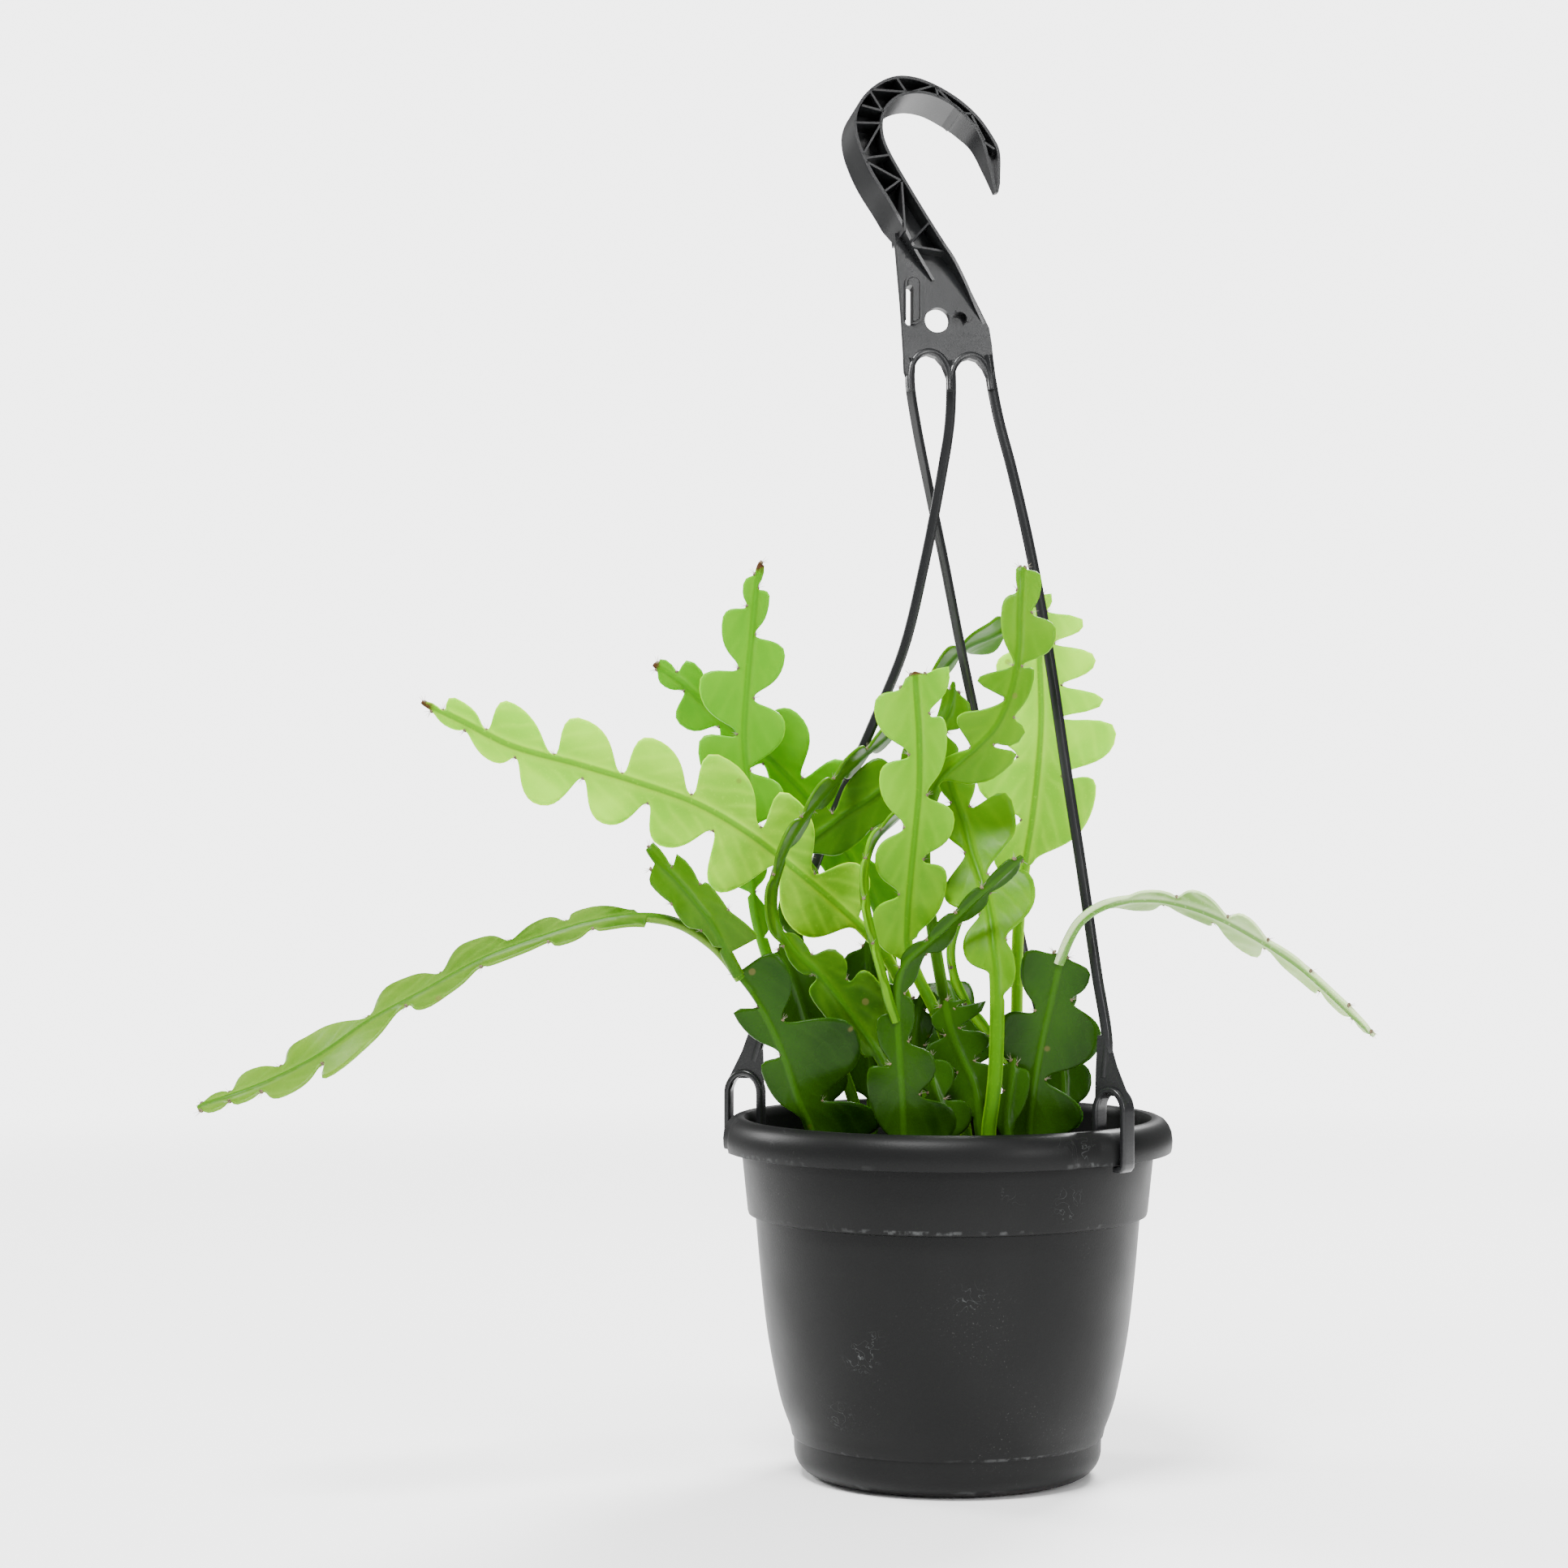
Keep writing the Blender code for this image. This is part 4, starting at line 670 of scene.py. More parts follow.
class GeometryTree:
    """A Geometry Nodes tree with named inputs, worked out to a plain mesh."""

    def __init__(self, name: str, sizes: dict[str, float]) -> None:
        """Start a tree.

        Args:
            name: The tree's name.
            sizes: The named inputs and their default values.
        """
        self.tree = bpy.data.node_groups.new(name, "GeometryNodeTree")
        face = self.tree.interface
        face.new_socket("Geometry", in_out="INPUT", socket_type="NodeSocketGeometry")
        self.keys: dict[str, str] = {}
        for label, value in sizes.items():
            kind = "NodeSocketInt" if isinstance(value, int) else "NodeSocketFloat"
            socket = face.new_socket(label, in_out="INPUT", socket_type=kind)
            socket.default_value = value
            self.keys[label] = socket.identifier
        face.new_socket("Geometry", in_out="OUTPUT", socket_type="NodeSocketGeometry")
        self.source = self.tree.nodes.new("NodeGroupInput")
        self.sink = self.tree.nodes.new("NodeGroupOutput")

    def given(self, label: str) -> bpy.types.NodeSocket:
        """Give one of the tree's named inputs."""
        return self.source.outputs[label]

    def node(self, kind: str, settings: dict, inputs: dict) -> bpy.types.Node:
        """Add a node.

        Args:
            kind: The node's type.
            settings: Its own settings.
            inputs: Values or sockets for its inputs, by name or number.

        Returns:
            The node.
        """
        made = self.tree.nodes.new(kind)
        for key, value in settings.items():
            setattr(made, key, value)
        for key, value in inputs.items():
            if isinstance(value, bpy.types.NodeSocket):
                self.tree.links.new(value, made.inputs[key])
            else:
                made.inputs[key].default_value = value
        return made

    def carried(self, name: str, kind: str) -> bpy.types.NodeSocket:
        """Read what each point carries under a name, as a data type."""
        made = self.node("GeometryNodeInputNamedAttribute", {"data_type": kind}, {"Name": name})
        return made.outputs[0]

    def drawn(self, low: Point, high: Point, seed: int | bpy.types.NodeSocket) -> bpy.types.NodeSocket:
        """Draw a random vector for each point.

        Args:
            low: The least of each of its numbers.
            high: The most of each.
            seed: The draw's seed.

        Returns:
            The vector's socket.
        """
        made = self.node("FunctionNodeRandomValue", {"data_type": "FLOAT_VECTOR"},
                         {0: low, 1: high, "Seed": seed})
        return made.outputs[0]

    def close(self, instances: bpy.types.NodeSocket, material: bpy.types.Material) -> None:
        """End the tree in real meshes with a material.

        Args:
            instances: What was placed.
            material: Its finish.
        """
        real = self.node("GeometryNodeRealizeInstances", {}, {"Geometry": instances})
        dressed = self.node("GeometryNodeSetMaterial", {},
                            {"Geometry": real.outputs[0], "Material": material})
        self.tree.links.new(dressed.outputs[0], self.sink.inputs[0])

    def grow(self, base: bpy.types.Object, values: dict[str, float] | None = None) -> bpy.types.Object:
        """Work the tree out on an object, which becomes the result.

        Args:
            base: The object that the tree starts from.
            values: Values of the named inputs that differ from their defaults.

        Returns:
            The object with its plain mesh.
        """
        change = base.modifiers.new(self.tree.name, "NODES")
        change.node_group = self.tree
        for label, value in (values or {}).items():
            change[self.keys[label]] = value
        return baked(base)


# The pot and its mix


@dataclass
class Pot:
    """The turned pot: foot, barrel, shoulder step and rolled rim. Sizes are in millimetres."""

    rim_radius: float = 90.0
    rim_top: float = 143.0
    lip_bottom: float = 129.5
    wall: float = 1.6
    foot_radius: float = 51.0
    foot_round: float = 10.5
    steps: int = 180
    notch_azimuths: tuple[float, ...] = (-54.0, 66.0, 186.0)
    notch_half_angle: float = 4.2
    notch_slope: float = 0.9
    notch_depth: float = 1.7
    notch_from: float = 84.5
    notch_ease: float = 3.0
    drain_holes: int = 8
    drain_radius: float = 4.0
    drain_circle: float = 36.0
    drain_span: Knot = (-5.0, 9.0)
    drain_steps: int = 28
    barrel: tuple[Knot, ...] = ((61.6, 15.5), (66.2, 27.5), (69.2, 40.0), (72.4, 58.0), (74.9, 80.0),
                                (77.0, 103.5))
    band: tuple[Knot, ...] = ((80.1, 105.0), (82.1, 125.0))

    @staticmethod
    def turned(name: str, profile: Sequence[Knot], steps: int) -> bpy.types.Object:
        """Turn a closed profile of (radius, height) points round the upright axis.

        Args:
            name: The piece's name.
            profile: The points, in order round the section. A radius of 0 makes a pole.
            steps: How many steps go round.

        Returns:
            The turned solid.
        """
        rings: list[list[int]] = []
        points: list[Point] = []
        for radius, z in profile:
            if radius < 1e-6:
                rings.append([len(points)])
                points.append((0.0, 0.0, z))
                continue
            rings.append(list(range(len(points), len(points) + steps)))
            for step in range(steps):
                angle = math.tau * step / steps
                points.append((radius * math.cos(angle), radius * math.sin(angle), z))
        faces: list[tuple[int, ...]] = []
        for ring, following in zip(rings, rings[1:] + rings[:1]):
            if len(ring) == 1 and len(following) == 1:
                continue
            for step in range(steps):
                after = (step + 1) % steps
                if len(ring) == 1:
                    faces.append((ring[0], following[after], following[step]))
                elif len(following) == 1:
                    faces.append((ring[step], ring[after], following[0]))
                else:
                    faces.append((ring[step], ring[after], following[after], following[step]))
        return mesh_piece(name, points, faces)

    @staticmethod
    def arc(centre: Knot, radius: float, start: float, end: float, count: int) -> list[Knot]:
        """Give points (r, z) on an arc, its angles in degrees from +r towards +z."""
        angles = np.radians(np.linspace(start, end, count))
        return [(centre[0] + radius * math.cos(a), centre[1] + radius * math.sin(a)) for a in angles]

    def wall_line(self, offset: float) -> list[Knot]:
        """Give the wall's line from the foot to under the rim.

        Args:
            offset: How far the line is moved in from the outside.

        Returns:
            Its points (r, z), with eased bends.
        """
        barrel = smooth_route([(r - offset, z, 0.0) for r, z in self.barrel], 4.0)
        foot_step = [(self.barrel[0][0] - offset, self.barrel[0][1] - 0.5), (62.4 - offset, 16.0)]
        ledge = [(self.band[0][0] - 0.35 - offset, self.band[0][1] - 0.7), (self.band[0][0] - offset, 105.6)]
        return foot_step + [(r, z) for r, z, _ in barrel[1:]] + ledge + [(self.band[1][0] - offset, 125.0)]

    def profile(self) -> list[Knot]:
        """Give the closed section.

        Returns:
            Its points (r, z): the underside, the foot, the outside, the rim, the inside and the floor.
        """
        foot = self.arc((self.foot_radius, self.foot_round), self.foot_round, -90, 0, 12)
        underside = [(0.0, 0.9), (44.0, 0.9), (46.5, 0.0)]
        fillet = [(82.3, 127.0), (82.5, 137.6), (83.6, 139.2), (86.2, 139.2), (87.9, 137.2), (88.2, 130.0)]
        bead = [(88.7, self.lip_bottom), (89.5, self.lip_bottom + 0.2), (89.85, 131.2),
                (self.rim_radius, 134.0), (89.6, 137.2), (88.5, 139.8), (86.9, 141.8), (85.0, 142.8),
                (83.2, self.rim_top), (81.7, 142.7), (80.9, 141.6), (80.7, 139.0)]
        inside = list(reversed(self.wall_line(self.wall)))
        floor = [(self.foot_radius + 2.0, self.wall + 2.4), (0.0, self.wall + 0.4)]
        return underside + foot + self.wall_line(0.0) + fillet + bead + inside + floor

    def build(self) -> bpy.types.Object:
        """Build the pot.

        Returns:
            The pot, with its notches and drain holes.
        """
        pot = self.turned("pot_shell", self.profile(), self.steps)
        for vertex in pot.data.vertices:
            x, y, z = vertex.co / MM
            radius = math.hypot(x, y)
            if radius < self.notch_from or z < self.lip_bottom - 0.5:
                continue
            azimuth = math.degrees(math.atan2(y, x))
            near = min(abs((azimuth - notch + 180) % 360 - 180) for notch in self.notch_azimuths)
            share = clamp((self.notch_half_angle + self.notch_slope - near) / self.notch_slope, 0.0, 1.0)
            eased = min((radius - self.notch_from) / self.notch_ease, 1.0)
            factor = 1.0 - share * self.notch_depth / radius * eased
            vertex.co.x *= factor
            vertex.co.y *= factor
        drains = [self.drain(number) for number in range(self.drain_holes)]
        return shade(combine(pot, drains, Join.DIFFERENCE))

    def drain(self, number: int) -> bpy.types.Object:
        """Make the cutter of one drain hole.

        Args:
            number: The hole's number round the floor.

        Returns:
            The cutter, in its place.
        """
        angle = math.tau * (number + 0.5) / self.drain_holes
        low, high = self.drain_span
        section = [(0.0, low), (self.drain_radius, low), (self.drain_radius, high), (0.0, high)]
        cutter = self.turned(f"drain_{number}", section, self.drain_steps)
        shift = Vector((math.cos(angle), math.sin(angle), 0.0)) * self.drain_circle * MM
        cutter.data.transform(Matrix.Translation(shift))
        return cutter


@dataclass
class MixBed:
    """The potting mix: a filled body with a crumbly top. Sizes are in millimetres."""

    top: float = 118.0
    mound: float = 2.5
    radius: float = 79.3
    rings: int = 44
    steps: int = 150
    roughness: float = 1.5
    crumb_density: float = 52000.0
    crumb_size: float = 0.0019
    crumb_least: Point = (0.25, 0.2, 0.15)
    crumb_most: Point = (1.5, 0.8, 0.6)
    seed: int = 7
    turn_seed: int = 3
    stretch_seed: int = 5
    lower: tuple[Knot, ...] = ((77.0, 107.0), (74.2, 92.0), (72.0, 74.0), (69.0, 54.0), (62.0, 24.0),
                               (53.0, 5.4))

    def height(self, x: float, y: float) -> float:
        """Give the top's height at a place.

        Args:
            x: How far right of the pot's axis it is.
            y: How far behind the pot's axis it is.

        Returns:
            The height, lumpy and a little domed.
        """
        radius = math.hypot(x, y)
        dome = self.mound * (1 - (radius / self.radius) ** 2)
        lumps = noise.noise(Vector((x, y, 3.0)) * 0.09) * 1.3 + noise.noise(Vector((x, y, 9.0)) * 0.31)
        return self.top + dome - 1.0 + lumps * self.roughness * 0.6

    def build(self) -> bpy.types.Object:
        """Build the body of the mix.

        Returns:
            The body, a closed solid.
        """
        points: list[Point] = [(0.0, 0.0, self.height(0.0, 0.0))]
        faces: list[tuple[int, ...]] = []
        for ring in range(1, self.rings + 1):
            radius = self.radius * ring / self.rings
            for step in range(self.steps):
                angle = math.tau * (step + 0.5 * (ring % 2)) / self.steps
                x, y = radius * math.cos(angle), radius * math.sin(angle)
                points.append((x, y, self.height(x, y)))
        for radius, z in self.lower:
            for step in range(self.steps):
                angle = math.tau * (step + 0.5 * (self.rings % 2)) / self.steps
                points.append((radius * math.cos(angle), radius * math.sin(angle), z))
        for step in range(self.steps):
            faces.append((0, 1 + step, 1 + (step + 1) % self.steps))
        for ring in range(self.rings + len(self.lower) - 1):
            a, b = 1 + ring * self.steps, 1 + (ring + 1) * self.steps
            for step in range(self.steps):
                after = (step + 1) % self.steps
                faces.append((a + step, b + step, b + after, a + after))
        last = 1 + (self.rings + len(self.lower) - 1) * self.steps
        faces.append(tuple(range(last, last + self.steps)))
        return shade(mesh_piece("mix_bed", points, faces), 60.0)

    def crumbs(self, bed: bpy.types.Object, material: bpy.types.Material) -> bpy.types.Object:
        """Scatter crumbs and bark over the top.

        Args:
            bed: The body of the mix.
            material: The crumbs' finish.

        Returns:
            The crumbs.
        """
        base = bpy.data.objects.new("mix_crumbs", bed.data.copy())
        bpy.context.scene.collection.objects.link(base)
        sizes = {"Density": self.crumb_density, "Size": self.crumb_size, "Seed": self.seed}
        tree = GeometryTree("scatter_crumbs", sizes)
        normal = tree.node("GeometryNodeInputNormal", {}, {})
        height = tree.node("ShaderNodeSeparateXYZ", {}, {0: normal.outputs[0]})
        upward = tree.node("ShaderNodeMath", {"operation": "GREATER_THAN"}, {0: height.outputs["Z"], 1: 0.4})
        spots = tree.node("GeometryNodeDistributePointsOnFaces", {},
                          {"Mesh": tree.source.outputs[0], "Selection": upward.outputs[0],
                           "Density": tree.given("Density"), "Seed": tree.given("Seed")})
        crumb = tree.node("GeometryNodeMeshIcoSphere", {}, {"Radius": tree.given("Size"), "Subdivisions": 1})
        turn = tree.drawn((0.0, 0.0, 0.0), (6.28, 6.28, 6.28), self.turn_seed)
        stretch = tree.drawn(self.crumb_least, self.crumb_most, self.stretch_seed)
        placed = tree.node("GeometryNodeInstanceOnPoints", {},
                           {"Points": spots.outputs["Points"], "Instance": crumb.outputs[0],
                            "Rotation": turn, "Scale": stretch})
        tree.close(placed.outputs[0], material)
        return shade(tree.grow(base), 20.0)


# The hanger


@dataclass
class Hanger:
    """The moulded hanger: ribbed hook, plate, three arms and their rim clips.

    Sizes are in millimetres. The slot's ring, trench and lip are each a margin round the slot and
    heights above the plate's face, and the dish is a place, a radius, a wall and a floor.
    """

    foot_up: float = 446.0
    lean: float = 15.0
    yaw: float = 15.0
    hook_depth: float = 19.0
    web: float = 1.6
    flange: float = 1.15
    brace: float = 0.8
    tip_side: Knot = (-3.0, 505.0)
    thinning: Knot = (508.0, 548.0)
    web_end: float = 477.0
    outer_taper: Knot = (473.0, 505.0)
    rib_taper: Knot = (472.0, 500.0)
    plate: float = 2.6
    taper: Knot = (459.0, 494.0)
    arch_half: Knot = (1.5, 1.75)
    slot_ring: Knot = (2.0, 1.1)
    slot_trench: Point = (1.25, 2.0, 0.3)
    slot_lip: Point = (0.7, 1.0, -0.2)
    boss_rise: float = 0.9
    dish: tuple[Knot, float, float, float] = ((6.8, 464.8), 3.4, 0.5, 0.4)
    through: float = 8.0
    rib_gap: float = 0.5
    arm_half: Knot = (2.15, 1.75)
    arm_end: Knot = (81.2, 163.0)
    clip_outer: float = 92.0
    clip_inner: float = 78.3
    clip_top: float = 158.2
    clip_spring: float = 150.0
    strap_half: Knot = (1.3, 3.4)
    gusset_half: float = 1.6
    barb_z: float = 127.9
    azimuths: dict[str, float] = field(default_factory=lambda: {"right": -44.0, "back": 61.0, "left": 163.0})
    normal: np.ndarray = field(init=False)
    origin: np.ndarray = field(init=False)

    def __post_init__(self) -> None:
        """Work out the plate's plane."""
        lean, yaw = math.radians(self.lean), math.radians(self.yaw)
        self.normal = np.array((math.sin(yaw) * math.cos(lean), -math.cos(yaw) * math.cos(lean),
                                math.sin(lean)))
        self.origin = sighted(0.0, self.foot_up, 0.0)

    def on_plane(self, across: float, up: float, offset: float) -> np.ndarray:
        """Find where a line of sight meets a plane of the hanger.

        Args:
            across: Where the front view shows the point.
            up: How high the front view shows it.
            offset: How far the plane is in front of the plate's middle.

        Returns:
            The point.
        """
        way = np.array((across, 0.0, up)) - EYE
        reach = ((self.origin + self.normal * offset - EYE) @ self.normal) / (way @ self.normal)
        return EYE + way * reach

    def slab(self, name: str, outline: Sequence[Knot], front: float, back: float) -> bpy.types.Object:
        """Make a flat solid with a traced outline.

        Args:
            name: Its name.
            outline: The outline's points as the front view shows them.
            front: How far its front is before the plate's middle.
            back: How far its back is before the plate's middle.

        Returns:
            The solid.
        """
        face = np.array([self.on_plane(a, u, front) for a, u in outline])
        rear = face - self.normal * (front - back)
        return self.prism(name, face, rear)

    @staticmethod
    def prism(name: str, near: Sequence[Point], far: Sequence[Point]) -> bpy.types.Object:
        """Make a solid between two outlines of as many points.

        Args:
            name: Its name.
            near: The one outline's points.
            far: The other's, in the same order.

        Returns:
            The solid.
        """
        count = len(near)
        faces: list[tuple[int, ...]] = [(i, (i + 1) % count, (i + 1) % count + count, i + count)
                                        for i in range(count)]
        faces += [tuple(reversed(range(count))), tuple(range(count, 2 * count))]
        return mesh_piece(name, [*near, *far], faces)

    @staticmethod
    def eased(outline: Sequence[Knot], spacing: float = 1.6) -> list[Knot]:
        """Smooth an open outline."""
        return [(a, u) for a, u, _ in smooth_route([(a, u, 0.0) for a, u in outline], spacing)]

    @staticmethod
    def stadium(middle: Knot, half_width: float, half_height: float, count: int = 10) -> list[Knot]:
        """Give an outline with round ends.

        Args:
            middle: Its middle.
            half_width: Half its width.
            half_height: Half its height. The ends are as wide as the shorter of the two.
            count: How many points each quarter turn has.

        Returns:
            The outline's points.
        """
        corner = min(half_width, half_height)
        found = []
        for sx, sy, start in ((1, 1, 0), (-1, 1, 90), (-1, -1, 180), (1, -1, 270)):
            centre = (middle[0] + sx * (half_width - corner), middle[1] + sy * (half_height - corner))
            for angle in np.radians(np.linspace(start, start + 90, count)):
                found.append((centre[0] + corner * math.cos(angle), centre[1] + corner * math.sin(angle)))
        return found

    def swept(self, name: str, route: Sequence[Point], half: Knot, hint: np.ndarray, sides: int = 20,
              groove: float = 0.0, squareness: float = 2.0) -> bpy.types.Object:
        """Sweep a rounded bar along a route.

        Args:
            name: Its name.
            route: Points of the route.
            half: Half its width across the hint, and half along it.
            hint: The direction that its second half width lies along.
            sides: Points round the section.
            groove: Depth of a groove along the side that faces away from the hint's cross direction.
            squareness: 2 for an oval, more for a rounder rectangle.

        Returns:
            The bar.
        """
        points = np.array(route, float)
        tangents = np.gradient(points, axis=0)
        tangents /= np.linalg.norm(tangents, axis=1)[:, None]
        sections: list[list[np.ndarray]] = []
        for point, tangent in zip(points, tangents):
            wide = np.cross(tangent, hint)
            wide /= np.linalg.norm(wide)
            deep = np.cross(wide, tangent)
            section = []
            for side in range(sides):
                angle = math.tau * (side + 0.5) / sides
                c, s = math.cos(angle), math.sin(angle)
                u = math.copysign(abs(c) ** (2 / squareness), c) * half[0]
                v = math.copysign(abs(s) ** (2 / squareness), s) * half[1]
                u *= 1.0 - groove * math.exp(-(v / (0.42 * half[1])) ** 2)
                section.append(point + wide * u + deep * v)
            sections.append(section)
        return loft(name, sections)

    def span(self, across: float, up: float, taper: Knot) -> Knot:
        """Find where the hook's section lies at a traced place.

        Args:
            across: Where the place is.
            up: How high the place is.
            taper: The heights between which the section thins down to the plate.

        Returns:
            Its front and its back before the plate's middle. Its back comes forward towards the tip.
        """
        rise = clamp((up - taper[0]) / (taper[1] - taper[0]), 0.03, 1.0)
        front = 0.5 * self.web + (0.5 * self.hook_depth - 0.5 * self.web) * rise
        share = 1.0
        if across > self.tip_side[0] and up > self.tip_side[1]:
            share = clamp((up - self.thinning[0]) / (self.thinning[1] - self.thinning[0]), 0.1, 1.0)
        return front, front - 2.0 * front * share

    @staticmethod
    def beside(line: Sequence[Knot], gap: float) -> np.ndarray:
        """Move a traced line sideways.

        Args:
            line: The line's points.
            gap: How far to its right.

        Returns:
            The moved points.
        """
        points = np.array(line, float)
        way = np.gradient(points, axis=0)
        way /= np.linalg.norm(way, axis=1)[:, None]
        return points + np.stack((way[:, 1], -way[:, 0]), axis=1) * gap

    def strip(self, line: Sequence[Knot], width: float, taper: Knot) -> bpy.types.Object:
        """Make a flange or a rib: a strip that stands on the web, on the right of a traced line.

        Args:
            line: The traced line.
            width: How thick the strip is.
            taper: The heights between which it thins down to the plate.

        Returns:
            The strip, closed at both ends.
        """
        sections: list[list[np.ndarray]] = []
        for near, far in zip(line, self.beside(line, width)):
            front, back = self.span(*near, taper)
            sections.append([self.on_plane(*spot, front) - self.normal * (front - offset)
                             for spot, offset in ((near, front), (far, front), (far, back), (near, back))])
        return loft("strip", sections)

    def hook(self) -> bpy.types.Object:
        """Build the hook: an I-section whose two flanges are braced by thin ribs.

        Returns:
            The hook, its flanges thinning out towards the plate and the tip.
        """
        outer, inner = self.eased(HOOK_OUTER), self.eased(HOOK_INNER)
        web = []
        middles = [*self.beside(outer, 0.5 * self.flange), *HOOK_TIP, *self.beside(inner, 0.5 * self.flange)]
        for a, u in (knot for knot in middles if knot[1] > self.web_end):
            front, back = self.span(a, u, self.taper)
            web.append(self.on_plane(a, u, front) - self.normal * 0.5 * (front - back))
        off = self.normal * 0.5 * self.web
        hook = self.prism("hanger_hook", [p + off for p in web], [p - off for p in web])
        pieces = [self.strip(outer + [HOOK_TIP[0]], self.flange, self.outer_taper)]
        pieces.append(self.strip(list(reversed(inner)) + [HOOK_TIP[1]], -self.flange, self.taper))
        for start, end in HOOK_RIBS:
            way = np.array(end, float) - start
            length = np.linalg.norm(way)
            steps = np.array((self.rib_gap, 0.5 * length, length - self.rib_gap))
            line = np.array(start) + steps[:, None] * way / length
            pieces.append(self.strip(line, self.brace, self.rib_taper))
        return shade(joined(hook, pieces))

    def plate_piece(self) -> bpy.types.Object:
        """Build the plate.

        Returns:
            The plate, with a raised ring round its slot, a round hole and a dished boss.
        """
        half = 0.5 * self.plate
        plate = self.slab("hanger_plate", PLATE_OUTLINE, half, -half)
        middle, width, height = SLOT
        centre, reach = ROUND_HOLE
        spot, radius, wall, floor = self.dish
        ring, trench, lip = self.slot_ring, self.slot_trench, self.slot_lip
        grown = [self.stadium(middle, width + margin, height + margin) for margin, *_ in (ring, trench, lip)]
        steps = (
            ("slot_ring", grown[0], half + ring[1], -half - ring[1], Join.UNION),
            ("slot_trench", grown[1], half + trench[1], half + trench[2], Join.DIFFERENCE),
            ("slot_lip", grown[2], half + lip[1], half + lip[2], Join.UNION),
            ("boss", self.stadium(spot, radius, radius), half + self.boss_rise, -half, Join.UNION),
            ("slot", self.stadium(middle, width, height), self.through, -self.through, Join.DIFFERENCE),
            ("hole", self.stadium(centre, reach, reach), self.through, -self.through, Join.DIFFERENCE),
            ("dish", self.stadium(spot, radius - wall, radius - wall), self.through, floor - half,
             Join.DIFFERENCE),
        )
        for name, outline, front, back, how in steps:
            combine(plate, [self.slab(name, outline, front, back)], how)
        return shade(plate)

    def arch(self, name: str, outline: Sequence[Knot]) -> bpy.types.Object:
        """Build the bead that runs round an opening between two strands."""
        route = [self.on_plane(a, u, 0.0) for a, u in self.eased(outline, 0.8)]
        return shade(self.swept(name, route, self.arch_half, self.normal, squareness=2.4), 60.0)

    def rim_frame(self, name: str) -> tuple[np.ndarray, np.ndarray]:
        """Find which way an arm's place on the rim looks.

        Args:
            name: The arm's name.

        Returns:
            The outward and the sideways direction.
        """
        angle = math.radians(self.azimuths[name])
        return (np.array((math.cos(angle), math.sin(angle), 0.0)),
                np.array((-math.sin(angle), math.cos(angle), 0.0)))

    def arm(self, name: str, rows: Sequence[Point]) -> bpy.types.Object:
        """Build one arm, grooved along its inner side.

        Args:
            name: The arm's name.
            rows: Its traced route, from the plate down.

        Returns:
            The arm.
        """
        outward, sideways = self.rim_frame(name)
        end = outward * self.arm_end[0] + np.array((0, 0, self.arm_end[1]))
        route = smooth_route([tuple(sighted(*row)) for row in rows] + [tuple(end)], 3.0)
        arm = self.swept(f"hanger_arm_{name}", route, self.arm_half, sideways, sides=24, groove=0.22,
                         squareness=2.6)
        return shade(arm, 60.0)

    def clip(self, name: str) -> bpy.types.Object:
        """Build one clip: an arch astride the rim, a barb under the lip, and a gusset up to the arm.

        Args:
            name: The name of the arm that it ends.

        Returns:
            The clip.
        """
        outward, sideways = self.rim_frame(name)
        middle, half = 0.5 * (self.clip_outer + self.clip_inner), 0.5 * (self.clip_outer - self.clip_inner)
        rise = self.clip_top - self.clip_spring
        arch = [(middle + half * math.cos(a), self.clip_spring + rise * math.sin(a))
                for a in np.radians(np.linspace(0, 180, 25))]
        barb = [(self.clip_outer - 4.4, self.barb_z), (self.clip_outer - 2.4, self.barb_z - 0.1),
                (self.clip_outer - 0.9, self.barb_z + 0.2), (self.clip_outer - 0.1, self.barb_z + 1.2),
                (self.clip_outer, self.barb_z + 2.6), (self.clip_outer, 140.0)]
        legs = [(self.clip_inner, 145.0), (self.clip_inner, 139.0), (self.clip_inner, 135.0)]
        route = [outward * r + np.array((0, 0, z)) for r, z in barb + arch + legs]
        strap = self.swept(f"hanger_clip_{name}", route, self.strap_half, sideways, squareness=5.0)
        side = ((self.clip_inner - 1.0, 150.0), (self.clip_inner - 0.6, 166.0), (78.6, 179.0), (81.6, 179.0),
                (86.0, 167.0), (self.clip_outer + 0.6, 154.0), (self.clip_outer - 1.5, 151.5),
                (middle + 3.5, self.clip_top - 2.2), (middle - 3.5, self.clip_top - 2.2),
                (self.clip_inner + 1.3, 151.5))
        near, far = ([outward * r + sideways * off + np.array((0, 0, z)) for r, z in side]
                     for off in (self.gusset_half, -self.gusset_half))
        gusset = self.prism("gusset", near, far)
        return shade(combine(strap, [gusset], Join.UNION), 40.0)

    def build(self) -> list[bpy.types.Object]:
        """Build every piece of the hanger.

        Returns:
            The hook, the plate, the two arches, and each arm with its clip.
        """
        pieces = [self.hook(), self.plate_piece()]
        pieces += [self.arch(f"hanger_arch_{name}", outline) for name, outline in ARCHES.items()]
        for name, rows in ARMS.items():
            pieces += [self.arm(name, rows), self.clip(name)]
        return pieces


# The stems


@dataclass(frozen=True)
class StemPlan:
    """How one stem grows: its rib's rows (across, up, depth, turn) and its two lobed edges.

    The edges are traced as sinus, crest, sinus and so on, or made by rule as
    (start, lobes, reach at the first and last lobe, lead). Rules under then go on from traced edges.
    """

    rib: list[Point]
    finish: str = ""
    root: Knot | None = None
    edges: tuple = ()
    made: tuple = ()
    then: tuple = ()
    shoots: tuple = ()
    stalk: float = 2.4
    burnt: float = 0.0


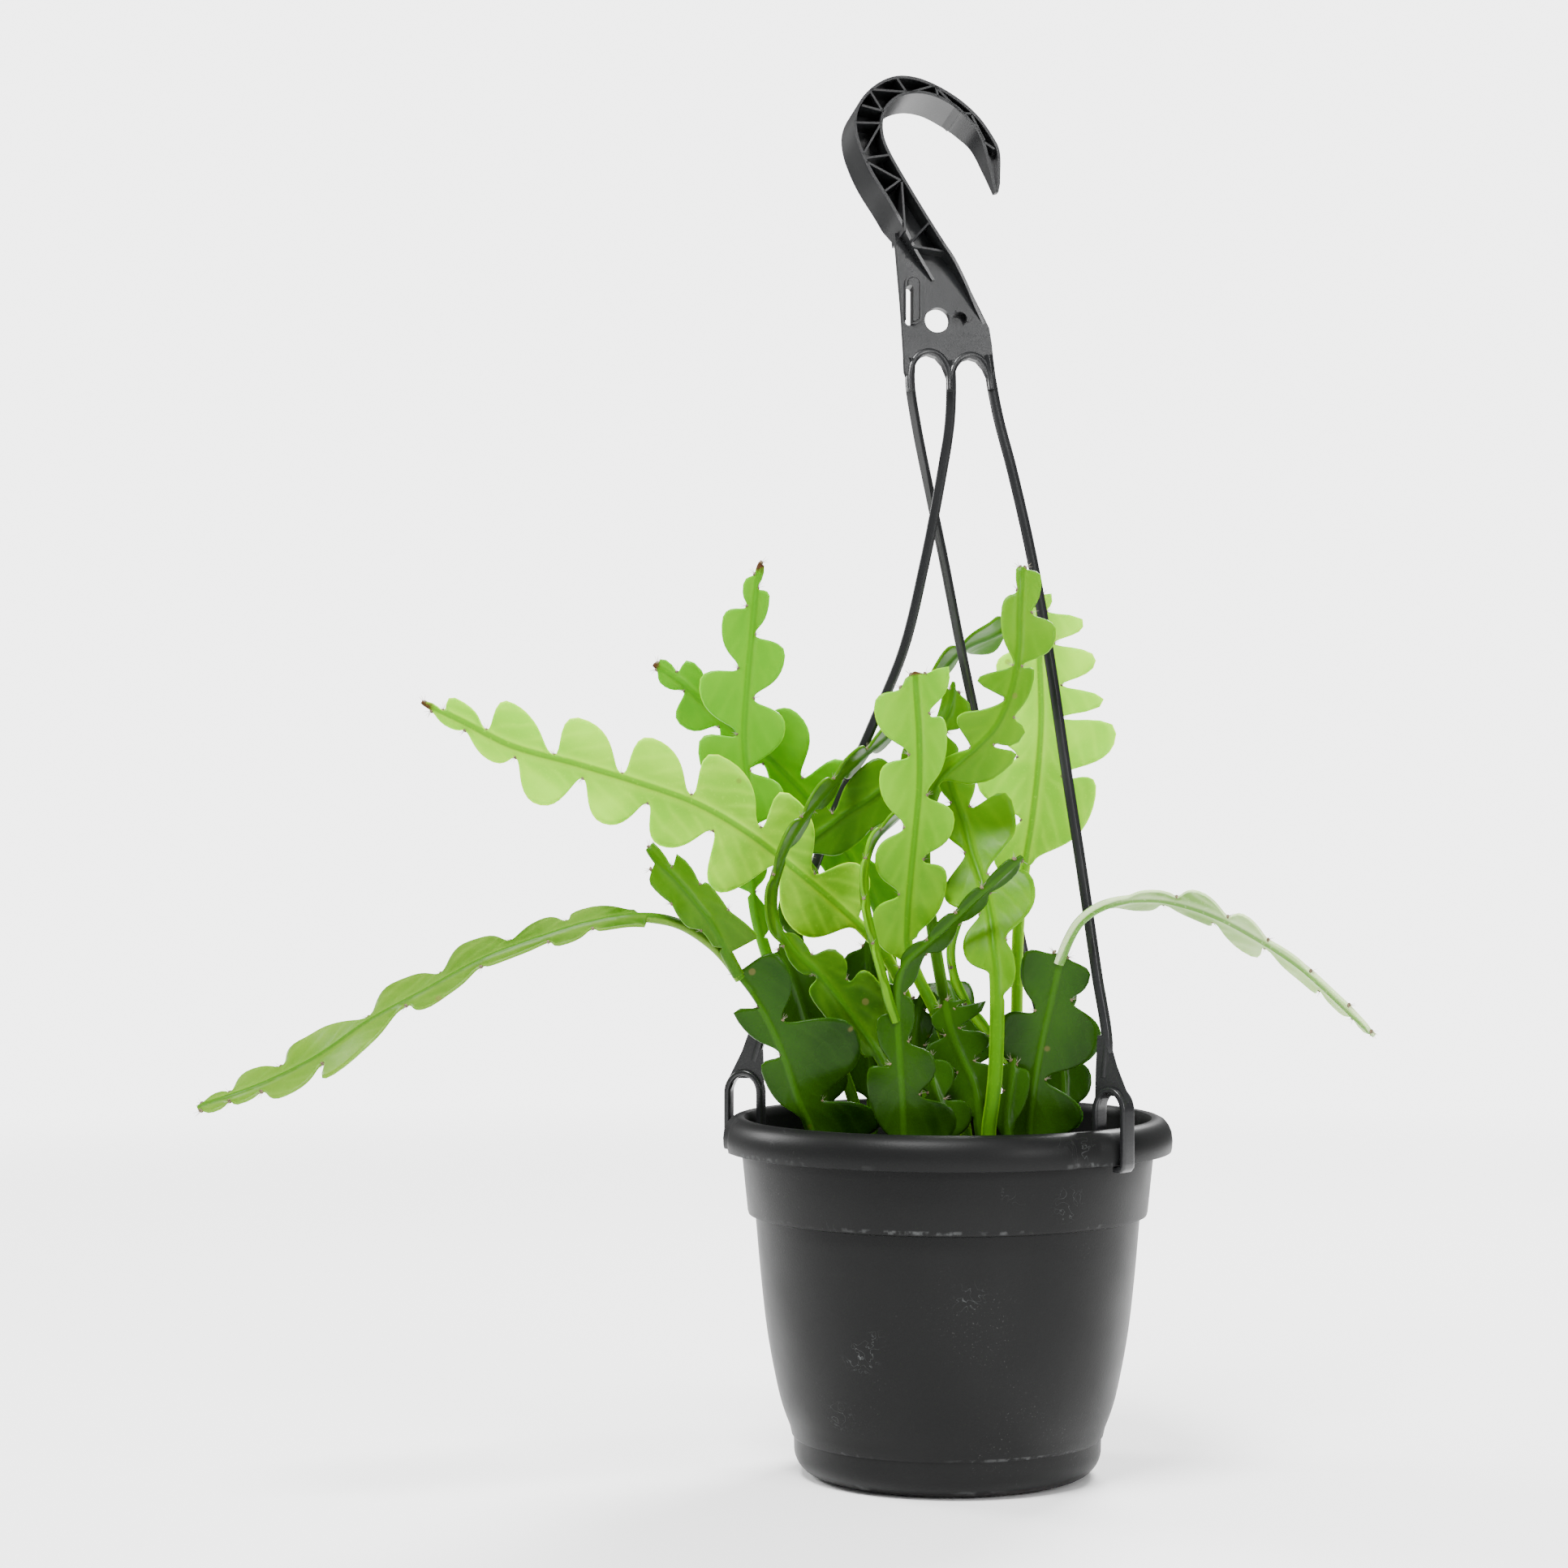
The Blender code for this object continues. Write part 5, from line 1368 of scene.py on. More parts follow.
class Rib:
    """A stem's midrib: its route, and at each place the way its blade spreads and faces."""

    REACH_COST = 0.02

    def __init__(self, rows: Sequence[Point]) -> None:
        """Sample the route.

        Args:
            rows: Its rows (x, y, z, turn), the turn in degrees from facing the front.
        """
        sampled = smooth_route(rows, 1.0)
        self.points = sampled[:, :3]
        turns = np.radians(sampled[:, 3])
        steps = np.linalg.norm(np.diff(self.points, axis=0), axis=1)
        self.along = np.concatenate(([0.0], np.cumsum(steps)))
        tangents = np.gradient(self.points, self.along, axis=0)
        self.tangents = tangents / np.linalg.norm(tangents, axis=1)[:, None]
        front = np.array((0.0, -1.0, 0.0))
        level = front - self.tangents * (self.tangents @ front)[:, None]
        level /= np.linalg.norm(level, axis=1)[:, None]
        side = np.cross(level, self.tangents)
        cos, sin = np.cos(turns)[:, None], np.sin(turns)[:, None]
        self.sides = cos * side + sin * level
        self.fronts = cos * level - sin * side

    @property
    def length(self) -> float:
        """Give the rib's length."""
        return float(self.along[-1])

    def at(self, table: np.ndarray, s: float) -> np.ndarray:
        """Read a table at a distance along the rib."""
        s = clamp(s, 0.0, self.length)
        return np.array([np.interp(s, self.along, table[:, k]) for k in range(3)])

    def place(self, s: float, reach: float, lift: float) -> np.ndarray:
        """Find a point of the blade.

        Args:
            s: The distance along the rib.
            reach: The distance out to the side, the left being positive.
            lift: The distance off the blade's middle, towards its face.

        Returns:
            The point.
        """
        out = self.at(self.points, s)
        if s > self.length:
            out = out + self.tangents[-1] * (s - self.length)
        return out + self.at(self.sides, s) * reach + self.at(self.fronts, s) * lift

    def find(self, spot: Knot) -> Knot:
        """Find the point of the blade that the front view shows at a spot.

        Args:
            spot: Where the front view shows it.

        Returns:
            Its (s, reach).
        """
        scale = (self.points[:, 1] - EYE[1]) / -EYE[1]
        flat = (self.points[:, (0, 2)] - EYE[[0, 2]]) / scale[:, None] + EYE[[0, 2]]
        spread = self.sides[:, (0, 2)] / scale[:, None]
        gap = np.array(spot) - flat
        size = np.maximum((spread ** 2).sum(1), 1e-4)
        reach = (gap * spread).sum(1) / size
        miss = np.linalg.norm(gap - spread * reach[:, None], axis=1)
        best = int(np.argmin(miss + self.REACH_COST * np.abs(reach)))
        return float(self.along[best]), float(reach[best])


class Edge:
    """One lobed edge of a stem, as sinus and crest places (s, reach) along its rib."""

    RISE = (0.24, 0.76)
    FALL = (0.35, 0.13)
    LEAST_LOBE = 3.0
    CREST_ROOM = (1.0, 1.5)
    PEAK_SHARES = (0.275, 0.45)
    PEAK_INSET = 0.25

    def __init__(self, knots: Sequence[Knot]) -> None:
        """Put the places in rising order, with crests kept between their sinuses.

        Args:
            knots: The traced or ruled places: sinus, crest, sinus and so on.
        """
        sinuses = [knots[0]]
        for s, reach in knots[2::2]:
            sinuses.append((max(s, sinuses[-1][0] + self.LEAST_LOBE), reach))
        self.knots = [sinuses[0]]
        for (low, _), (s, reach), high in zip(sinuses, knots[1::2], sinuses[1:]):
            crest = clamp(s, low + self.CREST_ROOM[0], high[0] + self.CREST_ROOM[1])
            self.knots += [(crest, reach), high]

    def point(self, s: float, narrow: float) -> Knot:
        """Find the edge's point opposite a place on the rib.

        Args:
            s: The place along the rib.
            narrow: How far the edge reaches where the stem has no lobes.

        Returns:
            Its (s, reach).
        """
        knots = self.knots
        if s <= knots[0][0]:
            return s, narrow
        if s >= knots[-1][0]:
            return s, min(narrow, abs(knots[-1][1]))
        for number in range(0, len(knots) - 2, 2):
            (s0, w0), (sc, wc), (s1, w1) = knots[number:number + 3]
            if s0 <= s <= s1:
                return self.on_lobe(s, (s0, abs(w0)), (sc, abs(wc)), (s1, abs(w1)))
        return s, narrow

    def on_lobe(self, s: float, low: Knot, crest: Knot, high: Knot) -> Knot:
        """Give the edge's point on one lobe.

        Args:
            s: The place along the rib.
            low: The sinus before the lobe.
            crest: The lobe's crest.
            high: The sinus after it, which the crest may overhang a little.

        Returns:
            The edge's (s, reach), with a rounded crest and rounded sinuses.
        """
        length = high[0] - low[0]
        middle = self.PEAK_SHARES[0] * (low[0] + high[0]) + self.PEAK_SHARES[1] * crest[0]
        inset = self.PEAK_INSET * length
        middle = clamp(middle, low[0] + inset, high[0] - inset)
        if s <= middle:
            rise = crest[0] - low[0]
            t = (s - low[0]) / (middle - low[0])
            return self.bent(low, crest, self.RISE[0] * rise, self.RISE[1] * rise, t)
        t = (s - middle) / (high[0] - middle)
        place, reach = self.bent(crest, high, self.FALL[0] * length, self.FALL[1] * length, t)
        clear = s + 0.9 * (high[0] - s) * max(reach / max(high[1], 1.5), 1.0)
        return min(place, clear), reach

    @staticmethod
    def bent(start: Knot, end: Knot, leave: float, arrive: float, t: float) -> Knot:
        """Give a point on a curve that leaves and arrives level with the rib.

        Args:
            start: The curve's start.
            end: The curve's end.
            leave: How far it stays level at its start.
            arrive: How far it is level before its end.
            t: The point's share of the way, from 0 to 1.

        Returns:
            The point's (s, reach).
        """
        (s0, w0), (s1, w1) = start, end
        keep = 1 - t
        place = (keep ** 3 * s0 + 3 * keep ** 2 * t * (s0 + leave) + 3 * keep * t ** 2 * (s1 - arrive)
                 + t ** 3 * s1)
        return place, w0 + (w1 - w0) * t * t * (3 - 2 * t)


@dataclass(frozen=True)
class Areole:
    """A felted spot in a sinus: where it sits, which way it looks and how big it is, in millimetres."""

    place: tuple[float, float, float]
    aim: tuple[float, float, float]
    size: float


@dataclass
class Stem:
    """A flat, lobed stem with a raised midrib. Sizes are in millimetres."""

    name: str
    plan: StemPlan
    rib: Rib
    step: float = 1.5
    blade_half: float = 0.72
    rib_rise: float = 1.15
    rib_spread: float = 1.15
    tip_half: float = 0.7
    margin: float = 0.9
    stalk_half: float = 1.95
    stalk_to_blade: float = 12.0
    rib_fade: float = 12.0
    tip_taper: float = 14.0
    columns: tuple[float, ...] = (0.0, 0.9, 1.8, 2.8)
    fractions: tuple[float, ...] = (0.25, 0.42, 0.58, 0.73, 0.86, 0.95)
    areoles: list[Areole] = field(default_factory=list)

    def ruled(self, start: float, lobes: int, reach: Knot, lead: float) -> list[Knot]:
        """Place evenly growing or shrinking lobes from a start to the tip.

        Args:
            start: Where they start along the rib.
            lobes: How many there are.
            reach: How far the first and the last one reach.
            lead: How far this edge runs ahead of the other.

        Returns:
            The edge's places: sinus, crest, sinus and so on.
        """
        length = (self.rib.length - start - lead) / lobes
        knots: list[Knot] = [(start + lead, self.plan.stalk)]
        for number in range(lobes):
            share = number / max(lobes - 1, 1)
            out = reach[0] + (reach[1] - reach[0]) * share
            low = start + lead + number * length
            knots += [(low + 0.58 * length, out), (low + length, min(0.34 * out, 3.2))]
        return knots

    def edges(self) -> list[Edge]:
        """Make the two edges.

        Returns:
            The left and the right edge.
        """
        if self.plan.made:
            return [Edge(self.ruled(*rule)) for rule in self.plan.made]
        found = [[self.rib.find(spot) for spot in trace] for trace in self.plan.edges]
        if np.mean([reach for _, reach in found[0][1::2]]) < 0:
            found.reverse()
        if self.plan.then:
            found = [knots + self.ruled(*rule)[1:] for knots, rule in zip(found, self.plan.then)]
        return [Edge(knots) for knots in found]

    def section(self, s: float, edge: Knot, side: float, stalk: float) -> list[Point]:
        """Give one half of a cross-section, from the rib out to the margin.

        Args:
            s: The place along the rib.
            edge: The edge's (s, reach) there.
            side: 1 for the left half and -1 for the right.
            stalk: 1 where the stem is a round stalk, falling to 0 where it is a blade.

        Returns:
            Rows of (s, reach, half thickness, distance to the margin).
        """
        es, width = edge
        inner = [min(c, width * 0.2 * (k + 1)) for k, c in enumerate(self.columns)]
        reaches = inner + [inner[-1] + (width - inner[-1]) * f for f in self.fractions] + [width]
        tip = clamp((self.rib.length - s) / self.rib_fade, 0.35, 1.0)
        rows = []
        for reach in reaches:
            left = max(width - reach, 0.0)
            round_edge = math.sqrt(max(1.0 - max(1.0 - left / self.margin, 0.0) ** 2, 0.0))
            flat = self.blade_half + self.rib_rise * tip * math.exp(-(reach / self.rib_spread) ** 2)
            thick = flat * round_edge
            oval = self.stalk_half * math.sqrt(max(1.0 - (reach / max(width, 1e-6)) ** 2, 0.0))
            half = thick * (1 - stalk) + oval * stalk
            rows.append((s + (es - s) * reach / max(width, 1e-6), side * reach, half, left))
        return rows

    def sway(self, s: float, reach: float, seed: float) -> float:
        """Give how far the blade's middle leaves its plane, since lobes cup and ripple a little.

        Args:
            s: The place along the rib.
            reach: The distance out to the side.
            seed: The stem's own number.

        Returns:
            The distance, towards the blade's face.
        """
        ripple = noise.noise(Vector((s * 0.045, seed, 0.0)))
        side = noise.noise(Vector((s * 0.07, seed, 5.0 if reach > 0 else 11.0)))
        share = min(abs(reach) / 20.0, 1.3)
        return 2.4 * side * share ** 1.5 + 0.5 * ripple * share

    def build(self) -> bpy.types.Object:
        """Build the stem and note its areoles.

        Returns:
            The stem's mesh, with the numbers that its skin reads.
        """
        left, right = self.edges()
        blade_from = min(left.knots[0][0], right.knots[0][0])
        seed = float(sum(map(ord, self.name)) % 97)
        count = max(12, int(self.rib.length / self.step))
        sections: list[list[np.ndarray]] = []
        marks: list[tuple[float, float, float, float, float]] = []
        for s in np.linspace(0.0, self.rib.length, count):
            grown = clamp((s - blade_from + 2.0) / self.stalk_to_blade, 0.0, 1.0)
            tip = clamp((self.rib.length - s) / self.tip_taper, 0.0, 1.0) ** 0.6
            narrow = self.tip_half + (self.plan.stalk - self.tip_half) * tip
            (ls, lw), (rs, rw) = left.point(s, narrow), right.point(s, narrow)
            halves = [self.section(s, (ls, max(lw, self.tip_half)), 1.0, 1 - grown),
                      self.section(s, (rs, max(rw, self.tip_half)), -1.0, 1 - grown)]
            front = list(reversed(halves[0])) + halves[1][1:]
            back = list(reversed(front))[1:-1]
            sections.append([])
            for rows, face in ((front, 1.0), (back, -1.0)):
                for place, reach, half, edge in rows:
                    sway = self.sway(place, reach, seed) * grown
                    sections[-1].append(self.rib.place(place, reach, face * half + sway))
                    marks.append((reach, edge, s / self.rib.length, s, self.burn(s, reach, seed)))
        stem = loft(self.name, sections)
        for column, label in enumerate(("off", "edge", "age", "along", "burn")):
            layer = stem.data.attributes.new(label, "FLOAT", "POINT")
            layer.data.foreach_set("value", [row[column] for row in marks])
        self.note_areoles(left, 1.0, seed)
        self.note_areoles(right, -1.0, seed)
        return shade(stem, 70.0)

    def burn(self, s: float, reach: float, seed: float) -> float:
        """Give how brown the skin is, which it is only round a burnt tip.

        Args:
            s: The place along the rib.
            reach: The distance out to the side.
            seed: The stem's own number.

        Returns:
            A value between 0 and 1.
        """
        if not self.plan.burnt:
            return 0.0
        near = 1.0 - (self.rib.length - s) / self.plan.burnt
        return clamp(near + 0.25 * noise.noise(Vector((s * 0.4, reach * 0.4, seed))), 0.0, 1.0)

    def note_areoles(self, edge: Edge, side: float, seed: float) -> None:
        """Note an areole just past each sinus of an edge.

        Args:
            edge: The edge.
            side: 1 for the left one and -1 for the right.
            seed: The stem's own number.
        """
        for s, reach in edge.knots[2::2]:
            width = max(abs(reach), self.tip_half)
            spot = self.rib.place(s, side * (width - 0.25), self.sway(s, side * width, seed))
            out = self.rib.at(self.rib.sides, s) * side * 0.8 + self.rib.at(self.rib.tangents, s) * 0.6
            self.areoles.append(Areole(tuple(spot), tuple(out), 0.85 + 0.35 * (s / self.rib.length)))


@dataclass
class Plant:
    """All the stems of the cactus, each rooted in the mix."""

    soil_top: float = 118.0
    hole_depth: float = 12.0
    rest_gap: float = 0.3
    pad_size: float = 0.00085
    bristle_length: float = 0.0026
    bristle_radii: Knot = (0.00010, 0.00002)
    bristle_tilts: tuple[Point, ...] = ((0.0, 0.15, 0.0), (0.5, -0.2, 0.0), (-0.45, 0.3, 0.0),
                                        (0.1, 0.65, 0.0))
    bristle_sway: Point = (0.3, 0.3, 3.0)
    bristle_seed: int = 4
    areoles: list[Areole] = field(default_factory=list)

    @staticmethod
    def traced(rows: Sequence[Point]) -> list[Point]:
        """Turn traced rows (across, up, depth, turn) into route rows (x, y, z, turn)."""
        return [(*sighted(*row[:3]), row[3] if len(row) > 3 else 0.0) for row in rows]

    def rooted(self, plan: StemPlan) -> list[Point]:
        """Give the route of a stem.

        Args:
            plan: The stem's plan. With a root, its route starts at the bottom of its hole in the mix.

        Returns:
            Its rows (x, y, z, turn).
        """
        rows = self.traced(plan.rib)
        if plan.root is None:
            return rows
        x, y = plan.root
        turn = rows[0][3]
        foot = self.soil_top - self.hole_depth + self.rest_gap
        return [(x, y, z, turn) for z in (foot, self.soil_top - 5.0, self.soil_top + 1.0)] + rows

    def build(self, name: str, plan: StemPlan) -> list[bpy.types.Object]:
        """Build a stem and the shoots on it.

        Args:
            name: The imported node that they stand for.
            plan: The stem's plan.

        Returns:
            The pieces, the stem first.
        """
        pieces = []
        plans = [(f"{name}_blade", plan)]
        plans += [(f"{name}_shoot_{number}", shoot) for number, shoot in enumerate(plan.shoots, 1)]
        for label, each in plans:
            stem = Stem(label, each, Rib(self.rooted(each)))
            pieces.append(stem.build())
            self.areoles += stem.areoles
        return pieces

    def spots(self, name: str) -> bpy.types.Object:
        """Make a mesh of loose points, one for each areole, with its aim and size.

        Args:
            name: The object's name.

        Returns:
            The object.
        """
        mesh = bpy.data.meshes.new(name)
        mesh.from_pydata([tuple(c * MM for c in each.place) for each in self.areoles], [], [])
        aims = mesh.attributes.new("aim", "FLOAT_VECTOR", "POINT")
        aims.data.foreach_set("vector", [c for each in self.areoles for c in each.aim])
        sizes = mesh.attributes.new("size", "FLOAT", "POINT")
        sizes.data.foreach_set("value", [each.size for each in self.areoles])
        made = bpy.data.objects.new(name, mesh)
        bpy.context.scene.collection.objects.link(made)
        return made

    def grown(self, tree: GeometryTree, shape: bpy.types.NodeSocket, turn: bpy.types.NodeSocket,
              material: bpy.types.Material) -> bpy.types.Object:
        """Set a shape on every areole and work the tree out.

        Args:
            tree: The tree, whose name the piece gets.
            shape: What stands on each areole.
            turn: Which way it looks there.
            material: Its finish.

        Returns:
            The piece.
        """
        placed = tree.node("GeometryNodeInstanceOnPoints", {},
                           {"Points": tree.source.outputs[0], "Instance": shape, "Rotation": turn,
                            "Scale": tree.carried("size", "FLOAT")})
        tree.close(placed.outputs[0], material)
        return shade(tree.grow(self.spots(tree.tree.name)), 60.0)

    @staticmethod
    def aimed(tree: GeometryTree) -> bpy.types.NodeSocket:
        """Turn a shape's upright axis to each areole's aim."""
        aim = {"Vector": tree.carried("aim", "FLOAT_VECTOR")}
        return tree.node("FunctionNodeAlignRotationToVector", {"axis": "Z"}, aim).outputs[0]

    def pads(self, material: bpy.types.Material) -> bpy.types.Object:
        """Grow a felted pad in every sinus.

        Args:
            material: The pads' finish.

        Returns:
            The pads, in one piece.
        """
        tree = GeometryTree("areole_pads", {"Radius": self.pad_size})
        ball = tree.node("GeometryNodeMeshIcoSphere", {}, {"Radius": tree.given("Radius"), "Subdivisions": 2})
        flat = tree.node("GeometryNodeTransform", {},
                         {"Geometry": ball.outputs[0], "Scale": (1.0, 1.0, 0.6)})
        return self.grown(tree, flat.outputs[0], self.aimed(tree), material)

    def bristles(self, material: bpy.types.Material) -> bpy.types.Object:
        """Grow a few short bristles from every pad.

        Args:
            material: The bristles' finish.

        Returns:
            The bristles, in one piece.
        """
        tree = GeometryTree("areole_bristles", {"Length": self.bristle_length, "Seed": self.bristle_seed})
        foot, top = self.bristle_radii
        cone = tree.node("GeometryNodeMeshCone", {},
                         {"Vertices": 5, "Radius Top": top, "Radius Bottom": foot,
                          "Depth": tree.given("Length")})
        spread = tree.node("GeometryNodeJoinGeometry", {}, {})
        for tilt in self.bristle_tilts:
            leaning = tree.node("GeometryNodeTransform", {},
                                {"Geometry": cone.outputs[0], "Rotation": tilt})
            tree.tree.links.new(leaning.outputs[0], spread.inputs[0])
        sway = tree.drawn([-most for most in self.bristle_sway], self.bristle_sway, tree.given("Seed"))
        turn = tree.node("FunctionNodeRotateRotation", {"rotation_space": "LOCAL"},
                         {"Rotation": self.aimed(tree), "Rotate By": sway})
        return self.grown(tree, spread.outputs[0], turn.outputs[0], material)


# What was traced

HOOK_OUTER = ((-6, 478), (-13, 490), (-17, 498), (-24, 510.5), (-30, 520), (-34, 528), (-37, 537),
              (-37.4, 544), (-35.5, 549.5), (-31.5, 554.5), (-26, 558.4), (-20, 560.3), (-13, 559.8),
              (-7, 557.8), (0, 554.2), (7, 549.3), (13, 543.5), (18, 536.5), (21, 530.5), (21.3, 517))
HOOK_TIP = ((20.6, 513.6), (19, 513.2))
HOOK_INNER = ((17, 522), (13, 536), (9, 541.5), (4, 546.8), (-1, 550), (-6, 552.2), (-12, 553.2),
              (-17, 552.5), (-21, 550.5), (-24.5, 546.5), (-25.8, 541), (-25.2, 535.5), (-23, 530),
              (-20, 524.5),
              (-15, 516), (-8, 504.5), (-1, 493.5), (3, 487.5), (8, 477.5), (12, 468), (16, 459.5))
HOOK_RIBS = (
    ((-20, 559.8), (-15.8, 553.6)), ((-15.8, 553.8), (-5.4, 556.8)), ((-5, 556.8), (6, 545.6)),
    ((-4.2, 556), (-3, 551.4)), ((5.4, 545.8), (10.2, 545.4)), ((10, 545), (15.6, 534)),
    ((14.4, 534.4), (19.6, 531)),
    ((-15.8, 553.4), (-31, 554.4)), ((-30.6, 554.4), (-25, 545.4)), ((-36.8, 541.9), (-26.2, 541.7)),
    ((-26.2, 541), (-33.6, 528)), ((-33.2, 527.6), (-23, 529)), ((-32.6, 526.4), (-18, 518.4)),
    ((-18, 518.6), (-25.4, 513.2)), ((-17.8, 518.2), (-16.4, 497.6)), ((-15, 493.6), (-7.2, 502)),
    ((-14, 492.4), (0.4, 490)), ((-34.6, 549), (-25, 546.4)),
)
PLATE_OUTLINE = (
    (-21, 497), (-20.4, 491), (-19.6, 482), (-18.7, 472), (-17.9, 461), (-17.2, 450), (-16.9, 442),
    (-15.4, 438), (-14.2, 441), (-13.0, 445), (-11, 447.6), (-7.8, 448.6), (-4.4, 447.4), (-1.8, 444.4),
    (0, 440), (1.2, 437.4), (2.6, 440), (4, 443.6), (6.2, 446.2), (9, 447), (12, 446), (14.6, 443),
    (16.2, 439.6), (17.6, 436.6),
    (19.0, 439), (18.6, 446), (17.9, 453), (16.9, 459), (8, 477), (1, 490), (-8, 499),
)
SLOT = ((-13.4, 470.6), 1.45, 8.0)
ROUND_HOLE = ((-2, 464.8), 5.0)
ARCHES: dict[str, tuple[Knot, ...]] = {
    "left": ((-15.0, 434), (-15.1, 440), (-13.9, 445.2), (-11.2, 448.4), (-7.6, 449.4), (-3.8, 448.2),
             (-0.9, 445), (0.9, 440), (1.2, 434)),
    "right": ((1.2, 434), (1.5, 440), (3.2, 444.6), (6, 447.2), (9.4, 448), (12.8, 446.8), (15.8, 443.4),
              (17.3, 439), (17.9, 434)),
}
ARMS: dict[str, list[Point]] = {
    "right": [(16.2, 448, 4), (17.6, 438, 3.2), (20.5, 423, 0), (26, 402, -5), (33.5, 369, -12),
              (40.5, 330, -21), (48, 280, -33), (54.2, 240, -43), (60, 200, -52), (64.3, 172, -57)],
    "left": [(1.2, 446, 0), (1.6, 436, 0.5), (0.9, 420, 2), (-2.6, 398, 4), (-9, 365, 7), (-17.5, 330, 10),
             (-29.8, 300, 12), (-45, 265, 15), (-58, 229, 18), (-68, 199, 21), (-75.3, 172, 23)],
    "back": [(-14.6, 447, -4), (-14.9, 437, -3), (-12.4, 420, 2), (-6.6, 391, 11), (-1.4, 366, 18),
             (5.6, 330, 29), (14, 290, 41), (23, 245, 54), (31.5, 205, 65), (37.7, 176, 73)],
}

